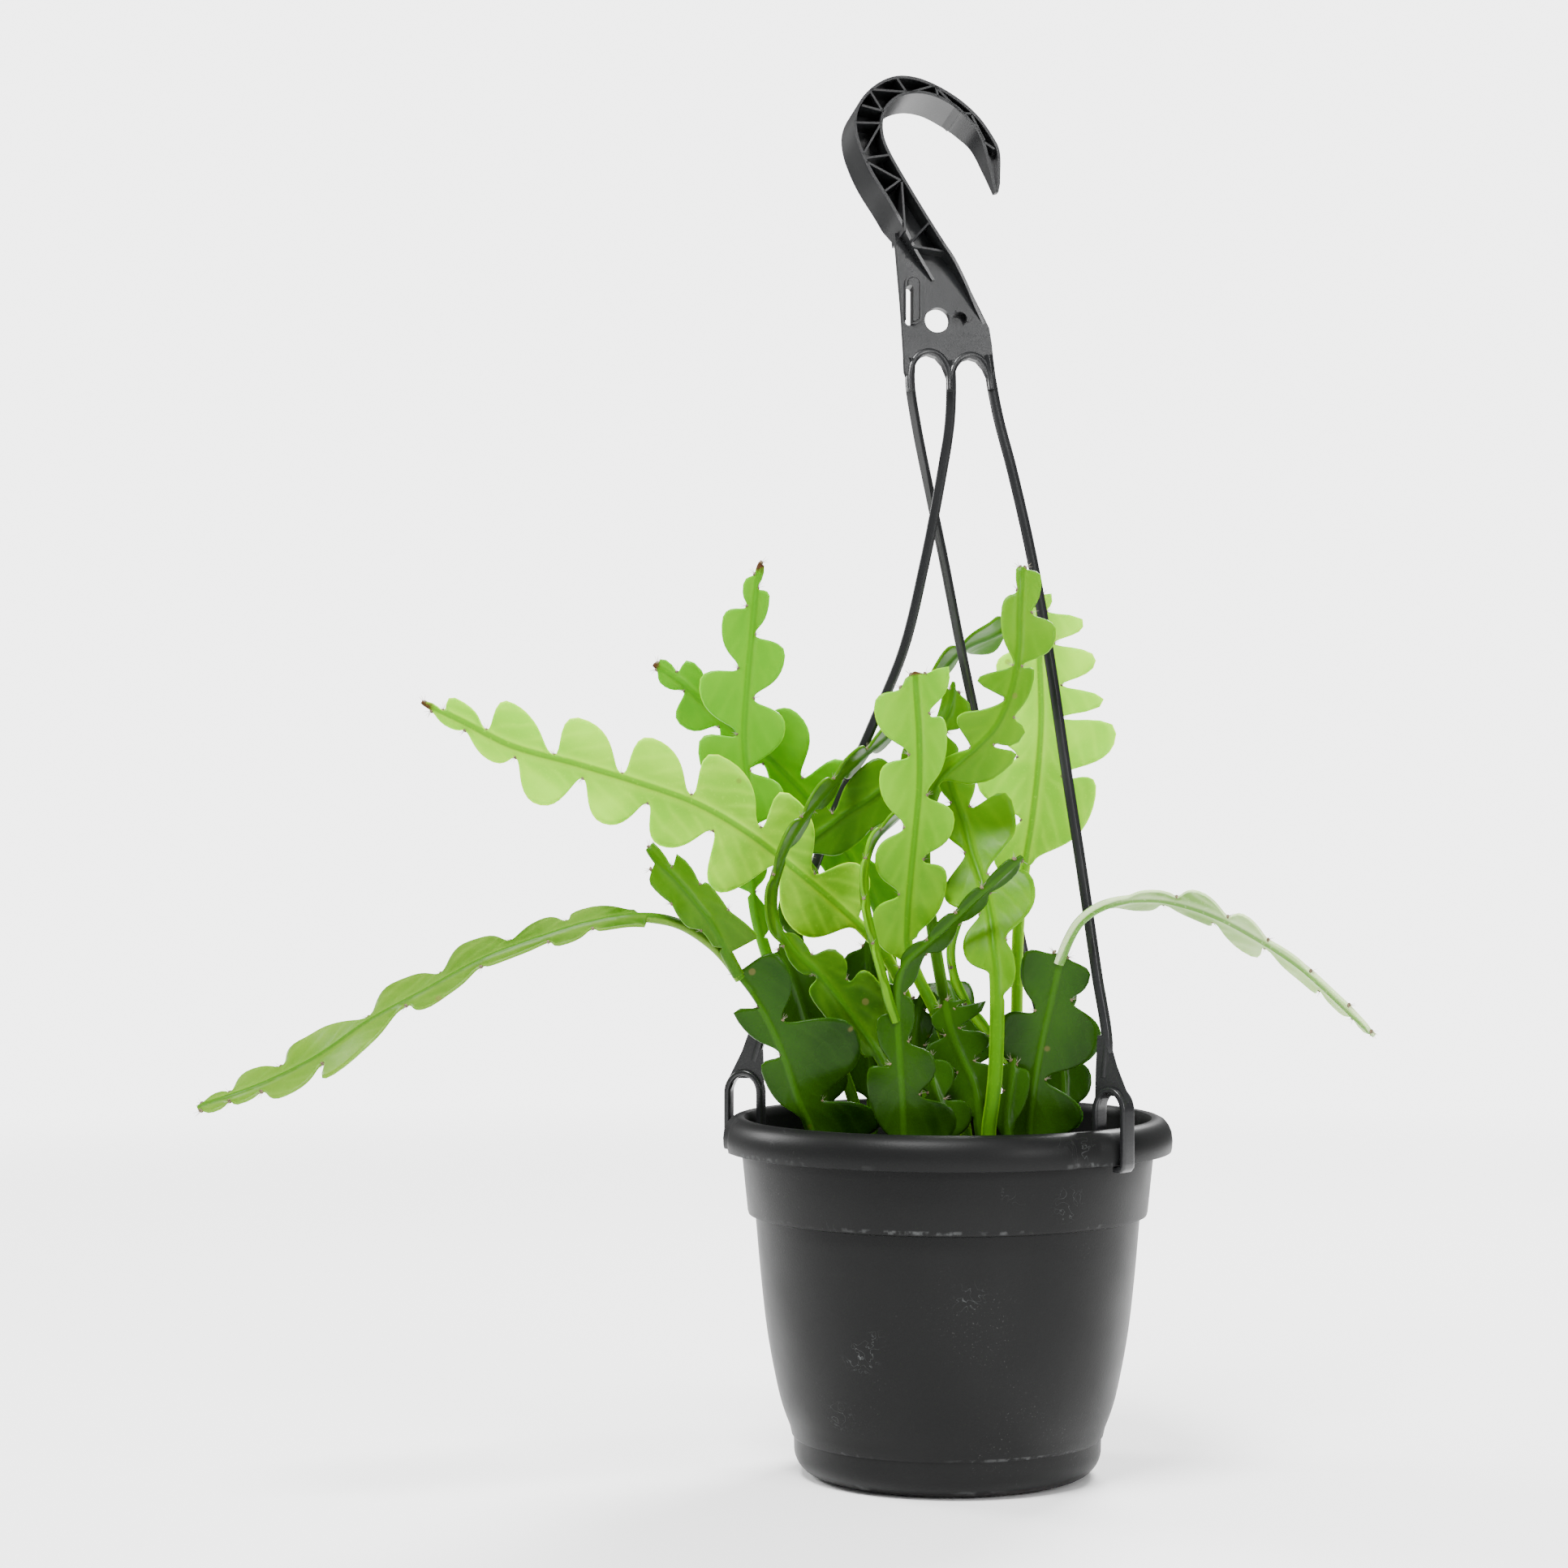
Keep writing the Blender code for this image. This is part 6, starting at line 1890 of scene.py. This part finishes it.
STEMS: dict[str, StemPlan] = {
    "stem_long_left": StemPlan(
        finish="young_stem", root=(-8, 14), burnt=9.0,
        rib=[(-9, 150, 12), (-14, 182, 6), (-24, 206, 0), (-38, 222, -6), (-60, 241, -14), (-80, 256.5, -19),
             (-100, 268, -22), (-125, 277, -25), (-150, 284.5, -28), (-175, 291.5, -30),
             (-195, 301.5, -32), (-211, 309, -34)],
        edges=([(-38, 218), (-61, 217), (-69, 243), (-94, 233.5), (-94, 257), (-115, 251), (-120, 268),
                (-138, 260), (-146, 278), (-164, 267.5), (-173.5, 286.5), (-183, 285), (-194, 297.5),
                (-200, 298.5), (-207, 305)],
               [(-35, 222), (-34, 243), (-53, 240), (-63, 272), (-75, 259), (-91, 287.5), (-103, 272),
                (-118, 294.5), (-131, 280.5), (-147, 302.5), (-158, 288), (-175, 309), (-185, 298),
                (-197, 310.5), (-202, 305.5), (-207.5, 309), (-210, 308.5)])),
    "stem_upright_left": StemPlan(
        finish="young_stem", root=(-46, 24), burnt=8.0,
        rib=[(-51, 150, 19), (-61, 175, 11), (-71, 203, 3), (-77, 225, -3), (-79, 250, -6), (-80, 275, -7),
             (-81.5, 295, -7), (-80, 320, -7), (-78, 340, -7), (-76.5, 355, -9), (-75, 365, -11)],
        edges=([(-75, 213), (-71, 222), (-77, 233), (-72, 244), (-77, 258), (-65.5, 272), (-79, 281.5),
                (-65, 299), (-77.5, 310), (-65, 327), (-77, 336), (-71.2, 350), (-76, 355), (-73.3, 362),
                (-75, 365)],
               [(-79, 232), (-88, 240), (-81, 250), (-92, 262), (-83.5, 266), (-100, 289), (-84.5, 296),
                (-99.5, 316), (-84, 322.5), (-90.5, 341), (-80.5, 348), (-82, 356), (-77.5, 360)])),
    "stem_small_left": StemPlan(
        finish="young_stem", root=(-17, 48), burnt=6.0,
        rib=[(-18, 150, 46), (-20, 190, 40), (-28, 226, 31), (-36, 242, 26), (-43, 253, 23), (-51, 265, 20),
             (-66, 281, 16), (-84, 297, 13), (-97, 308, 11), (-108, 318, 9), (-118, 324, 8)],
        edges=([(-34, 228), (-51, 243.5), (-51, 257), (-64, 258), (-74, 284), (-88, 282), (-92, 299),
                (-107.5, 300), (-106, 313.5), (-113.5, 315), (-116.5, 321.5)],
               [(-22, 222), (-19, 233), (-33, 248), (-25, 262), (-43, 262), (-41, 285), (-58, 278.5),
                (-60, 304.5), (-80, 300), (-86, 318), (-97, 311), (-101, 324.5), (-109, 321.5),
                (-113, 326), (-116.5, 325)])),
    "stem_arching": StemPlan(
        finish="old_stem", root=(-18, -37),
        rib=[(-20, 148, -40), (-25, 163, -41), (-37, 181, -42), (-50, 198, -41), (-62, 209.5, -39, 15),
             (-69.5, 222, -37, 60), (-70.5, 233, -36, 70), (-66, 248, -34, 68), (-60, 259, -31, 62),
             (-46, 276, -14, 60), (-38, 284, -3, 66), (-22, 298, 20, 70), (-8, 315, 38, 70),
             (6, 330.5, 50, 68), (17, 335.5, 57, 60), (25, 339, 65, 30), (31, 342, 77, 0),
             (35, 343.5, 92, -10), (38, 343, 106, -10)],
        edges=([(-33, 166), (-52.5, 187), (-53, 199), (-60, 201), (-66, 211)],
               [(-18, 160), (-27, 196), (-40, 197.5), (-43, 208.5), (-54, 207.5), (-59, 214.5), (-66, 217)]),
        then=((126, 10, (6.5, 13), 0), (131, 10, (6.5, 13), 6))),
    "stem_centre_light": StemPlan(
        finish="young_stem", root=(9, -22), burnt=3.5,
        rib=[(5, 150, -24), (1, 168, -26), (-5, 185, -30), (-12, 199, -35), (-16, 210, -39), (-16, 222, -41),
             (-15, 236, -43), (-13, 256, -44), (-11.3, 275, -44), (-11.3, 295, -43), (-12.4, 312, -40),
             (-13, 321, -38)],
        edges=([(-19, 205), (-30.2, 221), (-19.5, 232), (-29, 247), (-17.5, 258.5), (-27.3, 279),
                (-15.5, 288), (-29.4, 306), (-19, 314.5), (-17, 318), (-15, 320)],
               [(-12, 214), (0, 237), (-9.5, 245.5), (3, 261), (-8, 272), (0, 296), (-7, 304),
                (1, 323), (-8.5, 320)])),
    "stem_crossing": StemPlan(
        finish="old_stem", root=(-32, 8),
        rib=[(-38, 150, 6), (-50, 180, 3), (-59, 208, 2), (-61, 232, 1), (-57, 250, 1), (-45, 261, 1),
             (-30, 271, 0), (-15, 284, 0), (-5, 296, 1), (1, 307, 3), (2.5, 317, 4)],
        edges=([(-62, 214), (-68, 224), (-64, 236), (-69, 246), (-58, 258), (-52, 268), (-46, 264.5),
                (-33, 284), (-20, 283), (-14, 296), (-6, 299), (-2, 313), (1, 314)],
               [(-56, 226), (-51, 236), (-55, 247), (-38, 250.5), (-30, 258), (-18, 266), (-16, 276),
                (3, 285), (0, 297), (9, 303), (5, 313)])),
    "stem_front_right": StemPlan(
        finish="young_stem", root=(5, 2),
        rib=[(4, 150, -2), (0, 182, -12), (-5, 212, -22), (-9, 243, -28), (-8, 262, -31), (-3, 277, -34),
             (5, 285, -37), (12, 291, -40), (20, 300, -42), (26, 315, -43), (28.4, 330, -42),
             (29, 345, -39), (30, 363, -34)],
        edges=([(-9, 268), (-5, 283), (9, 290.5), (4, 303), (23, 310), (12, 318), (26.5, 324), (21.5, 344),
                (28, 354.5), (27.5, 362), (29, 364)],
               [(-4, 275), (26, 284), (19, 292), (31, 295.5), (27, 303), (35, 319), (30, 323),
                (43.8, 336), (34, 344.5), (38, 357.5), (31.5, 362.5)])),
    "stem_broad_right": StemPlan(
        finish="young_stem", root=(27, 24),
        rib=[(27.5, 150, 22), (28, 190, 14), (28.5, 218, 8), (31, 243, 4), (34, 262, 3), (36.5, 284, 4),
             (37.6, 303, 6), (37, 325, 8), (36.5, 338, 12), (37.5, 352, 18)],
        edges=([(26, 236), (18.5, 250), (29.5, 262), (12, 278), (28, 287), (18, 303), (29.5, 311),
                (19.5, 323), (31, 332), (26, 343), (34, 347)],
               [(34.5, 244), (59.8, 272), (46, 279), (68, 296), (46, 303), (63, 309), (46, 316),
                (59.6, 326), (43, 332), (55, 340.5), (40, 345), (43, 356), (38.5, 353)])),
    "stem_front_light": StemPlan(
        finish="young_stem", root=(16, -59), stalk=2.9,
        rib=[(16.6, 135, -60), (18.2, 148.7, -61), (19.3, 159.6, -61), (19.9, 176, -60), (19.9, 197.6, -58),
             (18.8, 208.5, -56), (17.7, 219.3, -50), (15, 232.8, -38), (12.6, 240.5, -32), (9.7, 249, -28),
             (7.3, 258.7, -24), (4.4, 267.4, -22), (1.5, 275, -20), (-1, 285, -16)],
        edges=([(16.6, 199.8), (6.3, 209.6), (12.8, 224), (-1.3, 231), (7, 248), (-4, 262), (1.5, 268),
                (-5, 280), (-1.5, 284)],
               [(22.6, 190), (27.5, 203), (23.7, 214), (34.9, 236.7), (16.4, 239.5), (26, 269.3), (9.2, 267),
                (11, 280), (2, 282)])),
    "stem_centre_dark": StemPlan(
        finish="old_stem", root=(-18, -54),
        rib=[(-17.5, 135, -55), (-18, 150, -57), (-19, 165, -58), (-20, 182, -58), (-19.5, 197, -59),
             (-17, 204, -60, 10), (-10, 211, -61, 30), (0, 220, -62, 45), (12, 231.5, -62, 45),
             (22, 240, -62, 40), (30, 247, -61, 40)],
        edges=([(-21, 130), (-32.3, 156), (-23, 164), (-28.5, 179), (-22, 185), (-22, 194), (-19, 203),
                (-15, 211), (-8, 214), (-2, 222.5), (3, 224.5), (9, 232.5), (14, 235), (22, 244),
                (27, 246.5)],
               [(-14, 124), (4, 141), (-11, 152), (-4.5, 164), (-15.5, 173), (-13, 186), (-17, 192),
                (-12, 199), (-8, 208), (1, 211), (5, 220), (14, 225), (17, 232), (26, 238), (30, 245)]),
        shoots=(StemPlan(
            rib=[(-20.5, 181, -58, 70), (-23, 188, -60, 75), (-26, 199, -60, 78), (-30, 214, -58, 78),
                 (-33, 229, -54, 78), (-33, 243, -46, 78), (-30, 253, -36, 78), (-24, 260, -27, 75),
                 (-17, 265, -22, 75)],
            made=((14, 5, (6, 8), 0), (14, 5, (7, 8), 8))),)),
    "stem_left_front": StemPlan(
        finish="old_stem", root=(-51, -36),
        rib=[(-54.5, 137, -41), (-60, 150, -46), (-65, 165, -51), (-71, 179, -55), (-78, 191, -59),
             (-86, 201.5, -62)],
        edges=([(-49, 128), (-26, 141), (-50, 149), (-36, 176), (-66, 181.5), (-66.5, 206.5), (-84, 201.5)],
               [(-60, 142), (-74.5, 160), (-67, 167), (-88, 186.5), (-76, 187), (-80, 193), (-85, 200)]),
        shoots=(
            StemPlan(
                rib=[(-83, 198, -61, 30), (-88, 205, -63, 50), (-95, 212, -65, 62), (-108, 220, -67, 66),
                     (-124, 222.5, -69, 64), (-142, 220, -71, 60), (-162, 214, -74, 58),
                     (-185, 205.5, -77, 58), (-210, 192, -80, 58), (-232, 180, -83, 58),
                     (-254, 165, -86, 56), (-278, 153.5, -89, 54),
                     (-301, 146, -92, 50)],
                edges=([(-126, 225), (-146, 225.3), (-153.5, 220.5), (-163, 221.2), (-175.5, 213),
                        (-192, 213.3), (-203.5, 200), (-222, 196.3), (-233, 182), (-260, 173),
                        (-268.5, 162), (-281, 160.3),
                        (-288.5, 152), (-293, 152), (-299, 148)],
                       [(-120, 219), (-135, 218), (-142, 218), (-153, 212), (-160, 212.5), (-178, 205.3),
                        (-187, 202.5), (-206, 188), (-217, 187), (-243, 161.5), (-250, 164), (-264, 151.8),
                        (-275, 152.5), (-283, 148), (-288, 148.5), (-293, 145), (-299, 145)])),
            StemPlan(
                rib=[(-84, 199.5, -62), (-88, 207, -66), (-94, 219, -71), (-101, 228.5, -73),
                     (-109, 238, -74), (-115, 244, -74), (-120.5, 250, -73)],
                edges=([(-87, 208), (-74, 211), (-88, 226), (-94.5, 235), (-99, 236), (-107, 247.5),
                        (-110.5, 243), (-117, 252), (-119.5, 251)],
                       [(-90, 210), (-95, 212), (-99, 217.5), (-106, 220), (-111, 228), (-118, 234),
                        (-119.5, 242), (-122, 249)])),)),
    "stem_right_dark": StemPlan(
        finish="old_stem", root=(31, -40),
        rib=[(33, 140, -42), (35, 155, -44), (38, 172, -46), (42, 190, -49), (46, 208, -53)],
        edges=([(29, 128), (22, 146), (30, 157), (21, 180), (35, 185), (30, 206), (43, 210)],
               [(37, 130), (54.5, 142), (39.5, 157), (61.5, 172), (50, 189.5), (57.5, 198.5), (48.5, 206.5)]),
        shoots=(StemPlan(
            rib=[(45, 204, -52, 40), (48.5, 213, -55, 55), (53, 220.5, -58, 60), (60, 226, -60, 60),
                 (70, 229.3, -62, 58), (84, 230, -63, 55), (98, 227, -64, 52), (112, 221.5, -65, 50),
                 (128, 212.5, -66, 52), (142, 203, -66, 56), (157, 189.5, -66, 60), (171.5, 175, -66, 62)],
            edges=([(72, 231), (83, 233.6), (92, 231), (99, 233.3), (112.5, 223), (119, 223.5), (129, 213.5),
                    (138, 208), (146, 201), (153, 195), (161, 187.5), (166, 182), (170, 177)],
                   [(66, 226.5), (79, 225), (87, 227.5), (104, 219.7), (107, 220.5), (122.5, 207), (128, 210),
                    (145, 194.5), (150, 193), (157, 185), (163, 182), (167, 177), (170.5, 175.5)])),)),
    "stem_horned": StemPlan(
        finish="old_stem", root=(14, -40),
        rib=[(13, 140, -41), (11, 155, -40), (6, 166, -38), (2, 176, -36), (0, 184, -34), (-1, 189, -33)],
        edges=([(8, 142), (-2, 150), (4, 160), (-9, 167), (-1, 175), (-6.5, 180.5), (-3, 187)],
               [(17, 150), (20, 160), (11, 165), (17, 174), (5, 178), (15.5, 190), (3, 186), (8, 193),
                (0, 190)])),
    "stem_low_centre": StemPlan(
        finish="old_stem", root=(1, -50),
        rib=[(0, 137, -50), (-3, 148, -49), (-6, 158, -48), (-8, 166, -47)],
        edges=([(-3, 132), (-12, 143), (-8, 152), (-15, 160), (-10, 166)],
               [(3, 132), (9.5, 146), (-1, 150), (2.8, 161), (-6, 166)])),
    "stem_low_right": StemPlan(
        finish="old_stem", root=(24, -52),
        rib=[(24, 137, -52), (24.5, 148, -51), (26, 158, -50), (27, 166, -49)],
        edges=([(21, 136), (18, 146), (22.5, 153), (20, 160), (25.5, 165)],
               [(27, 138), (33.5, 156), (28, 164)])),
    "stem_behind_centre": StemPlan(
        finish="old_stem", root=(-12, -15),
        rib=[(-12.5, 150, -20), (-13, 170, -23), (-12, 184, -24), (-9, 194, -24)],
        edges=([(-16, 150), (-24, 163), (-17, 172), (-21, 184), (-14, 190)],
               [(-9, 156), (0, 165), (-9, 171), (-5, 180), (-9, 185), (-3, 190), (-7, 194)])),
    "stem_pale_narrow": StemPlan(
        finish="young_stem", root=(42, 2),
        rib=[(37, 140, 0, 70), (27, 160, -2, 70), (15, 178, -8, 70), (7, 189, -10, 72), (2.5, 200, -10, 74),
             (1.5, 210, -10, 75), (4, 220, -8, 75), (9, 232, -4, 75)],
        made=((46, 6, (7, 6), 0), (46, 5, (6, 6), 9))),
    "stem_shaded_left": StemPlan(
        finish="old_stem", root=(-46, -8),
        rib=[(-49, 150, -12), (-54, 172, -17), (-59, 190, -21), (-64, 203, -23), (-67, 212, -23)],
        edges=([(-52, 152), (-64, 164), (-57, 174), (-73, 186), (-63, 194), (-74, 203), (-68, 210)],
               [(-46, 148), (-40, 160), (-50, 172), (-45, 183), (-54, 192), (-52.5, 202), (-63, 208)])),
    "stem_shaded_back": StemPlan(
        finish="old_stem", root=(-30, 30),
        rib=[(-30, 150, 28), (-31, 172, 24), (-31, 192, 19), (-32, 206, 16), (-32, 214, 15)],
        edges=([(-33, 150), (-42, 160), (-34, 170), (-44, 182), (-35, 191), (-42, 203), (-34, 211)],
               [(-27, 150), (-18, 164), (-27, 176), (-17, 190), (-27, 198), (-21, 208), (-30, 213)])),
    "stem_back_low": StemPlan(
        finish="old_stem", root=(4, 58),
        rib=[(5, 150, 60), (6, 168, 64), (4, 185, 70), (0, 197, 78)],
        edges=([(0, 146), (-11, 156), (-1, 164), (-12, 176), (-3, 184), (-9, 194), (-2, 198)],
               [(9, 144), (21, 153), (11, 162), (20, 174), (10, 182), (10, 194), (3, 197)])),
    "stem_back_right": StemPlan(
        finish="old_stem", root=(48, 40),
        rib=[(47, 150, 42), (46, 168, 46), (44, 186, 52), (42, 199, 58)],
        edges=([(42, 148), (31, 158), (40, 168), (32, 179), (40, 187), (35, 197), (40, 200)],
               [(51, 146), (58, 158), (51, 166), (57, 176), (49, 184), (52, 193), (45, 198)])),
}


SKINS: dict[str, Skin] = {
    "stem_long_left": Skin.FRESH, "stem_upright_left": Skin.LIME, "stem_small_left": Skin.LIME,
    "stem_arching": Skin.MID, "stem_centre_light": Skin.LIGHT, "stem_crossing": Skin.MID,
    "stem_front_right": Skin.GREEN, "stem_broad_right": Skin.FRESH,
    "stem_front_light": Skin.GREEN, "stem_centre_dark": Skin.DEEP, "stem_left_front": Skin.DEEP,
    "stem_right_dark": Skin.DEEP, "stem_horned": Skin.DEEP, "stem_low_centre": Skin.DEEP,
    "stem_low_right": Skin.DEEP, "stem_behind_centre": Skin.DEEP, "stem_pale_narrow": Skin.LIGHT,
    "stem_shaded_left": Skin.DEEP, "stem_shaded_back": Skin.DEEP, "stem_back_low": Skin.DEEP,
    "stem_back_right": Skin.DEEP, "stem_left_front_shoot_1": Skin.TRAILING,
    "stem_left_front_shoot_2": Skin.MID, "stem_right_dark_shoot_1": Skin.PALE,
    "stem_centre_dark_shoot_1": Skin.GREEN,
}


# The studio


@dataclass
class Studio:
    """A pale floor, soft light and the camera at the photograph's angle.

    Sizes are in metres, apart from the floor's height in millimetres.
    """

    floor_radius: float = 8.0
    floor_z: float = -0.4
    aim: Point = (0.0, 0.0, 0.25)
    fade: tuple[float, float] = (0.25, 3.0)
    lamps: tuple[tuple[str, Point, float, float], ...] = (
        ("key", (-0.45, -0.95, 2.0), 0.8, 100.0), ("fill", (1.5, -1.7, 0.9), 0.7, 26.0),
        ("back", (0.6, 1.2, 1.5), 0.8, 85.0), ("side", (-1.5, 0.7, 1.0), 0.7, 34.0),
        ("gleam", (1.0, -1.3, 1.65), 0.4, 4.5))
    ambient: float = 0.75
    mirrored: float = 0.2
    backdrop: float = 4.6

    def floor(self) -> bpy.types.Object:
        """Lay the floor.

        Returns:
            The floor, which fades out into the backdrop.
        """
        reach = self.floor_radius / MM
        rim = [(reach * math.cos(a), reach * math.sin(a), self.floor_z)
               for a in np.linspace(0, math.tau, 64, endpoint=False)]
        floor = mesh_piece("floor", rim, [tuple(range(len(rim)))])
        tree = ShaderTree("floor_paper")
        tone = tree.mix(tree.cloud(3.0, 2.0) * 0.3, (0.92, 0.92, 0.92), (0.90, 0.90, 0.90))
        away = tree.axis("X").power(2.0) + tree.axis("Y").power(2.0)
        floor.data.materials.append(tree.finish(tone, 0.75, alpha=away.ramp(self.fade[1], self.fade[0])))
        return floor

    def panel(self, name: str, place: Point, size: float, power: float) -> None:
        """Hang a soft light that looks at the plant.

        Args:
            name: Its name.
            place: Where it hangs.
            size: How wide it is.
            power: How bright it is, in watts.
        """
        light = bpy.data.lights.new(name, "AREA")
        light.shape = "DISK"
        light.size = size
        light.energy = power
        lamp = bpy.data.objects.new(name, light)
        lamp.location = place
        way = Vector(self.aim) - Vector(place)
        lamp.rotation_euler = way.to_track_quat("-Z", "Y").to_euler()
        bpy.context.scene.collection.objects.link(lamp)

    def light(self) -> None:
        """Light the set, the backdrop being brighter than the light that it throws on the plant."""
        world = bpy.data.worlds.new("studio")
        world.use_nodes = True
        nodes, links = world.node_tree.nodes, world.node_tree.links
        seen = nodes.new("ShaderNodeLightPath")
        strength = nodes.new("ShaderNodeMapRange")
        unseen = nodes.new("ShaderNodeMapRange")
        unseen.inputs["To Min"].default_value = self.ambient
        unseen.inputs["To Max"].default_value = self.mirrored
        links.new(seen.outputs["Is Glossy Ray"], unseen.inputs["Value"])
        links.new(unseen.outputs["Result"], strength.inputs["To Min"])
        strength.inputs["To Max"].default_value = self.backdrop
        links.new(seen.outputs["Is Camera Ray"], strength.inputs["Value"])
        links.new(strength.outputs["Result"], nodes["Background"].inputs["Strength"])
        nodes["Background"].inputs["Color"].default_value = (1.0, 1.0, 1.0, 1.0)
        bpy.context.scene.world = world
        for name, place, size, power in self.lamps:
            self.panel(name, place, size, power)

    def camera(self) -> None:
        """Set up the camera where the photograph was taken."""
        lens = bpy.data.cameras.new("camera")
        lens.sensor_width = SENSOR_MM
        lens.lens = LENS_MM
        eye = bpy.data.objects.new("camera", lens)
        eye.location = tuple(EYE * MM)
        eye.rotation_euler = (math.radians(90), 0.0, 0.0)
        bpy.context.scene.collection.objects.link(eye)
        bpy.context.scene.camera = eye


def main() -> None:
    """Build and dress every piece."""
    logging.basicConfig(level=logging.INFO, format="%(message)s")
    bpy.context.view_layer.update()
    studio = Studio()
    studio.camera()
    studio.light()
    studio.floor()
    hand_over(Pot().build(), WornPot(POT_PLASTIC).build(), "pot")
    mix_material = MIX_FINISH.build()
    bed = MixBed()
    body = bed.build()
    crumbs = bed.crumbs(body, mix_material)
    hand_over(body, mix_material, "potting_mix")
    hand_over(crumbs, mix_material, "potting_mix")
    hanger_material = HANGER_PLASTIC.build()
    for piece in Hanger().build():
        hand_over(piece, hanger_material, "hanger")
    skins = {skin: skin.value.build() for skin in Skin}
    plant = Plant()
    for name, plan in STEMS.items():
        pieces = plant.build(name, plan)
        for piece in pieces:
            skin = SKINS.get(piece.name, SKINS[name])
            hand_over(piece, skins[skin], name)
    for piece, felt in ((plant.pads, PAD_FELT), (plant.bristles, BRISTLE_HORN)):
        material = felt.build()
        made = piece(material)
        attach(made, BODY)
        LOG.info("%s: %d faces", made.name, len(made.data.polygons))


if __name__ == "__main__":
    main()
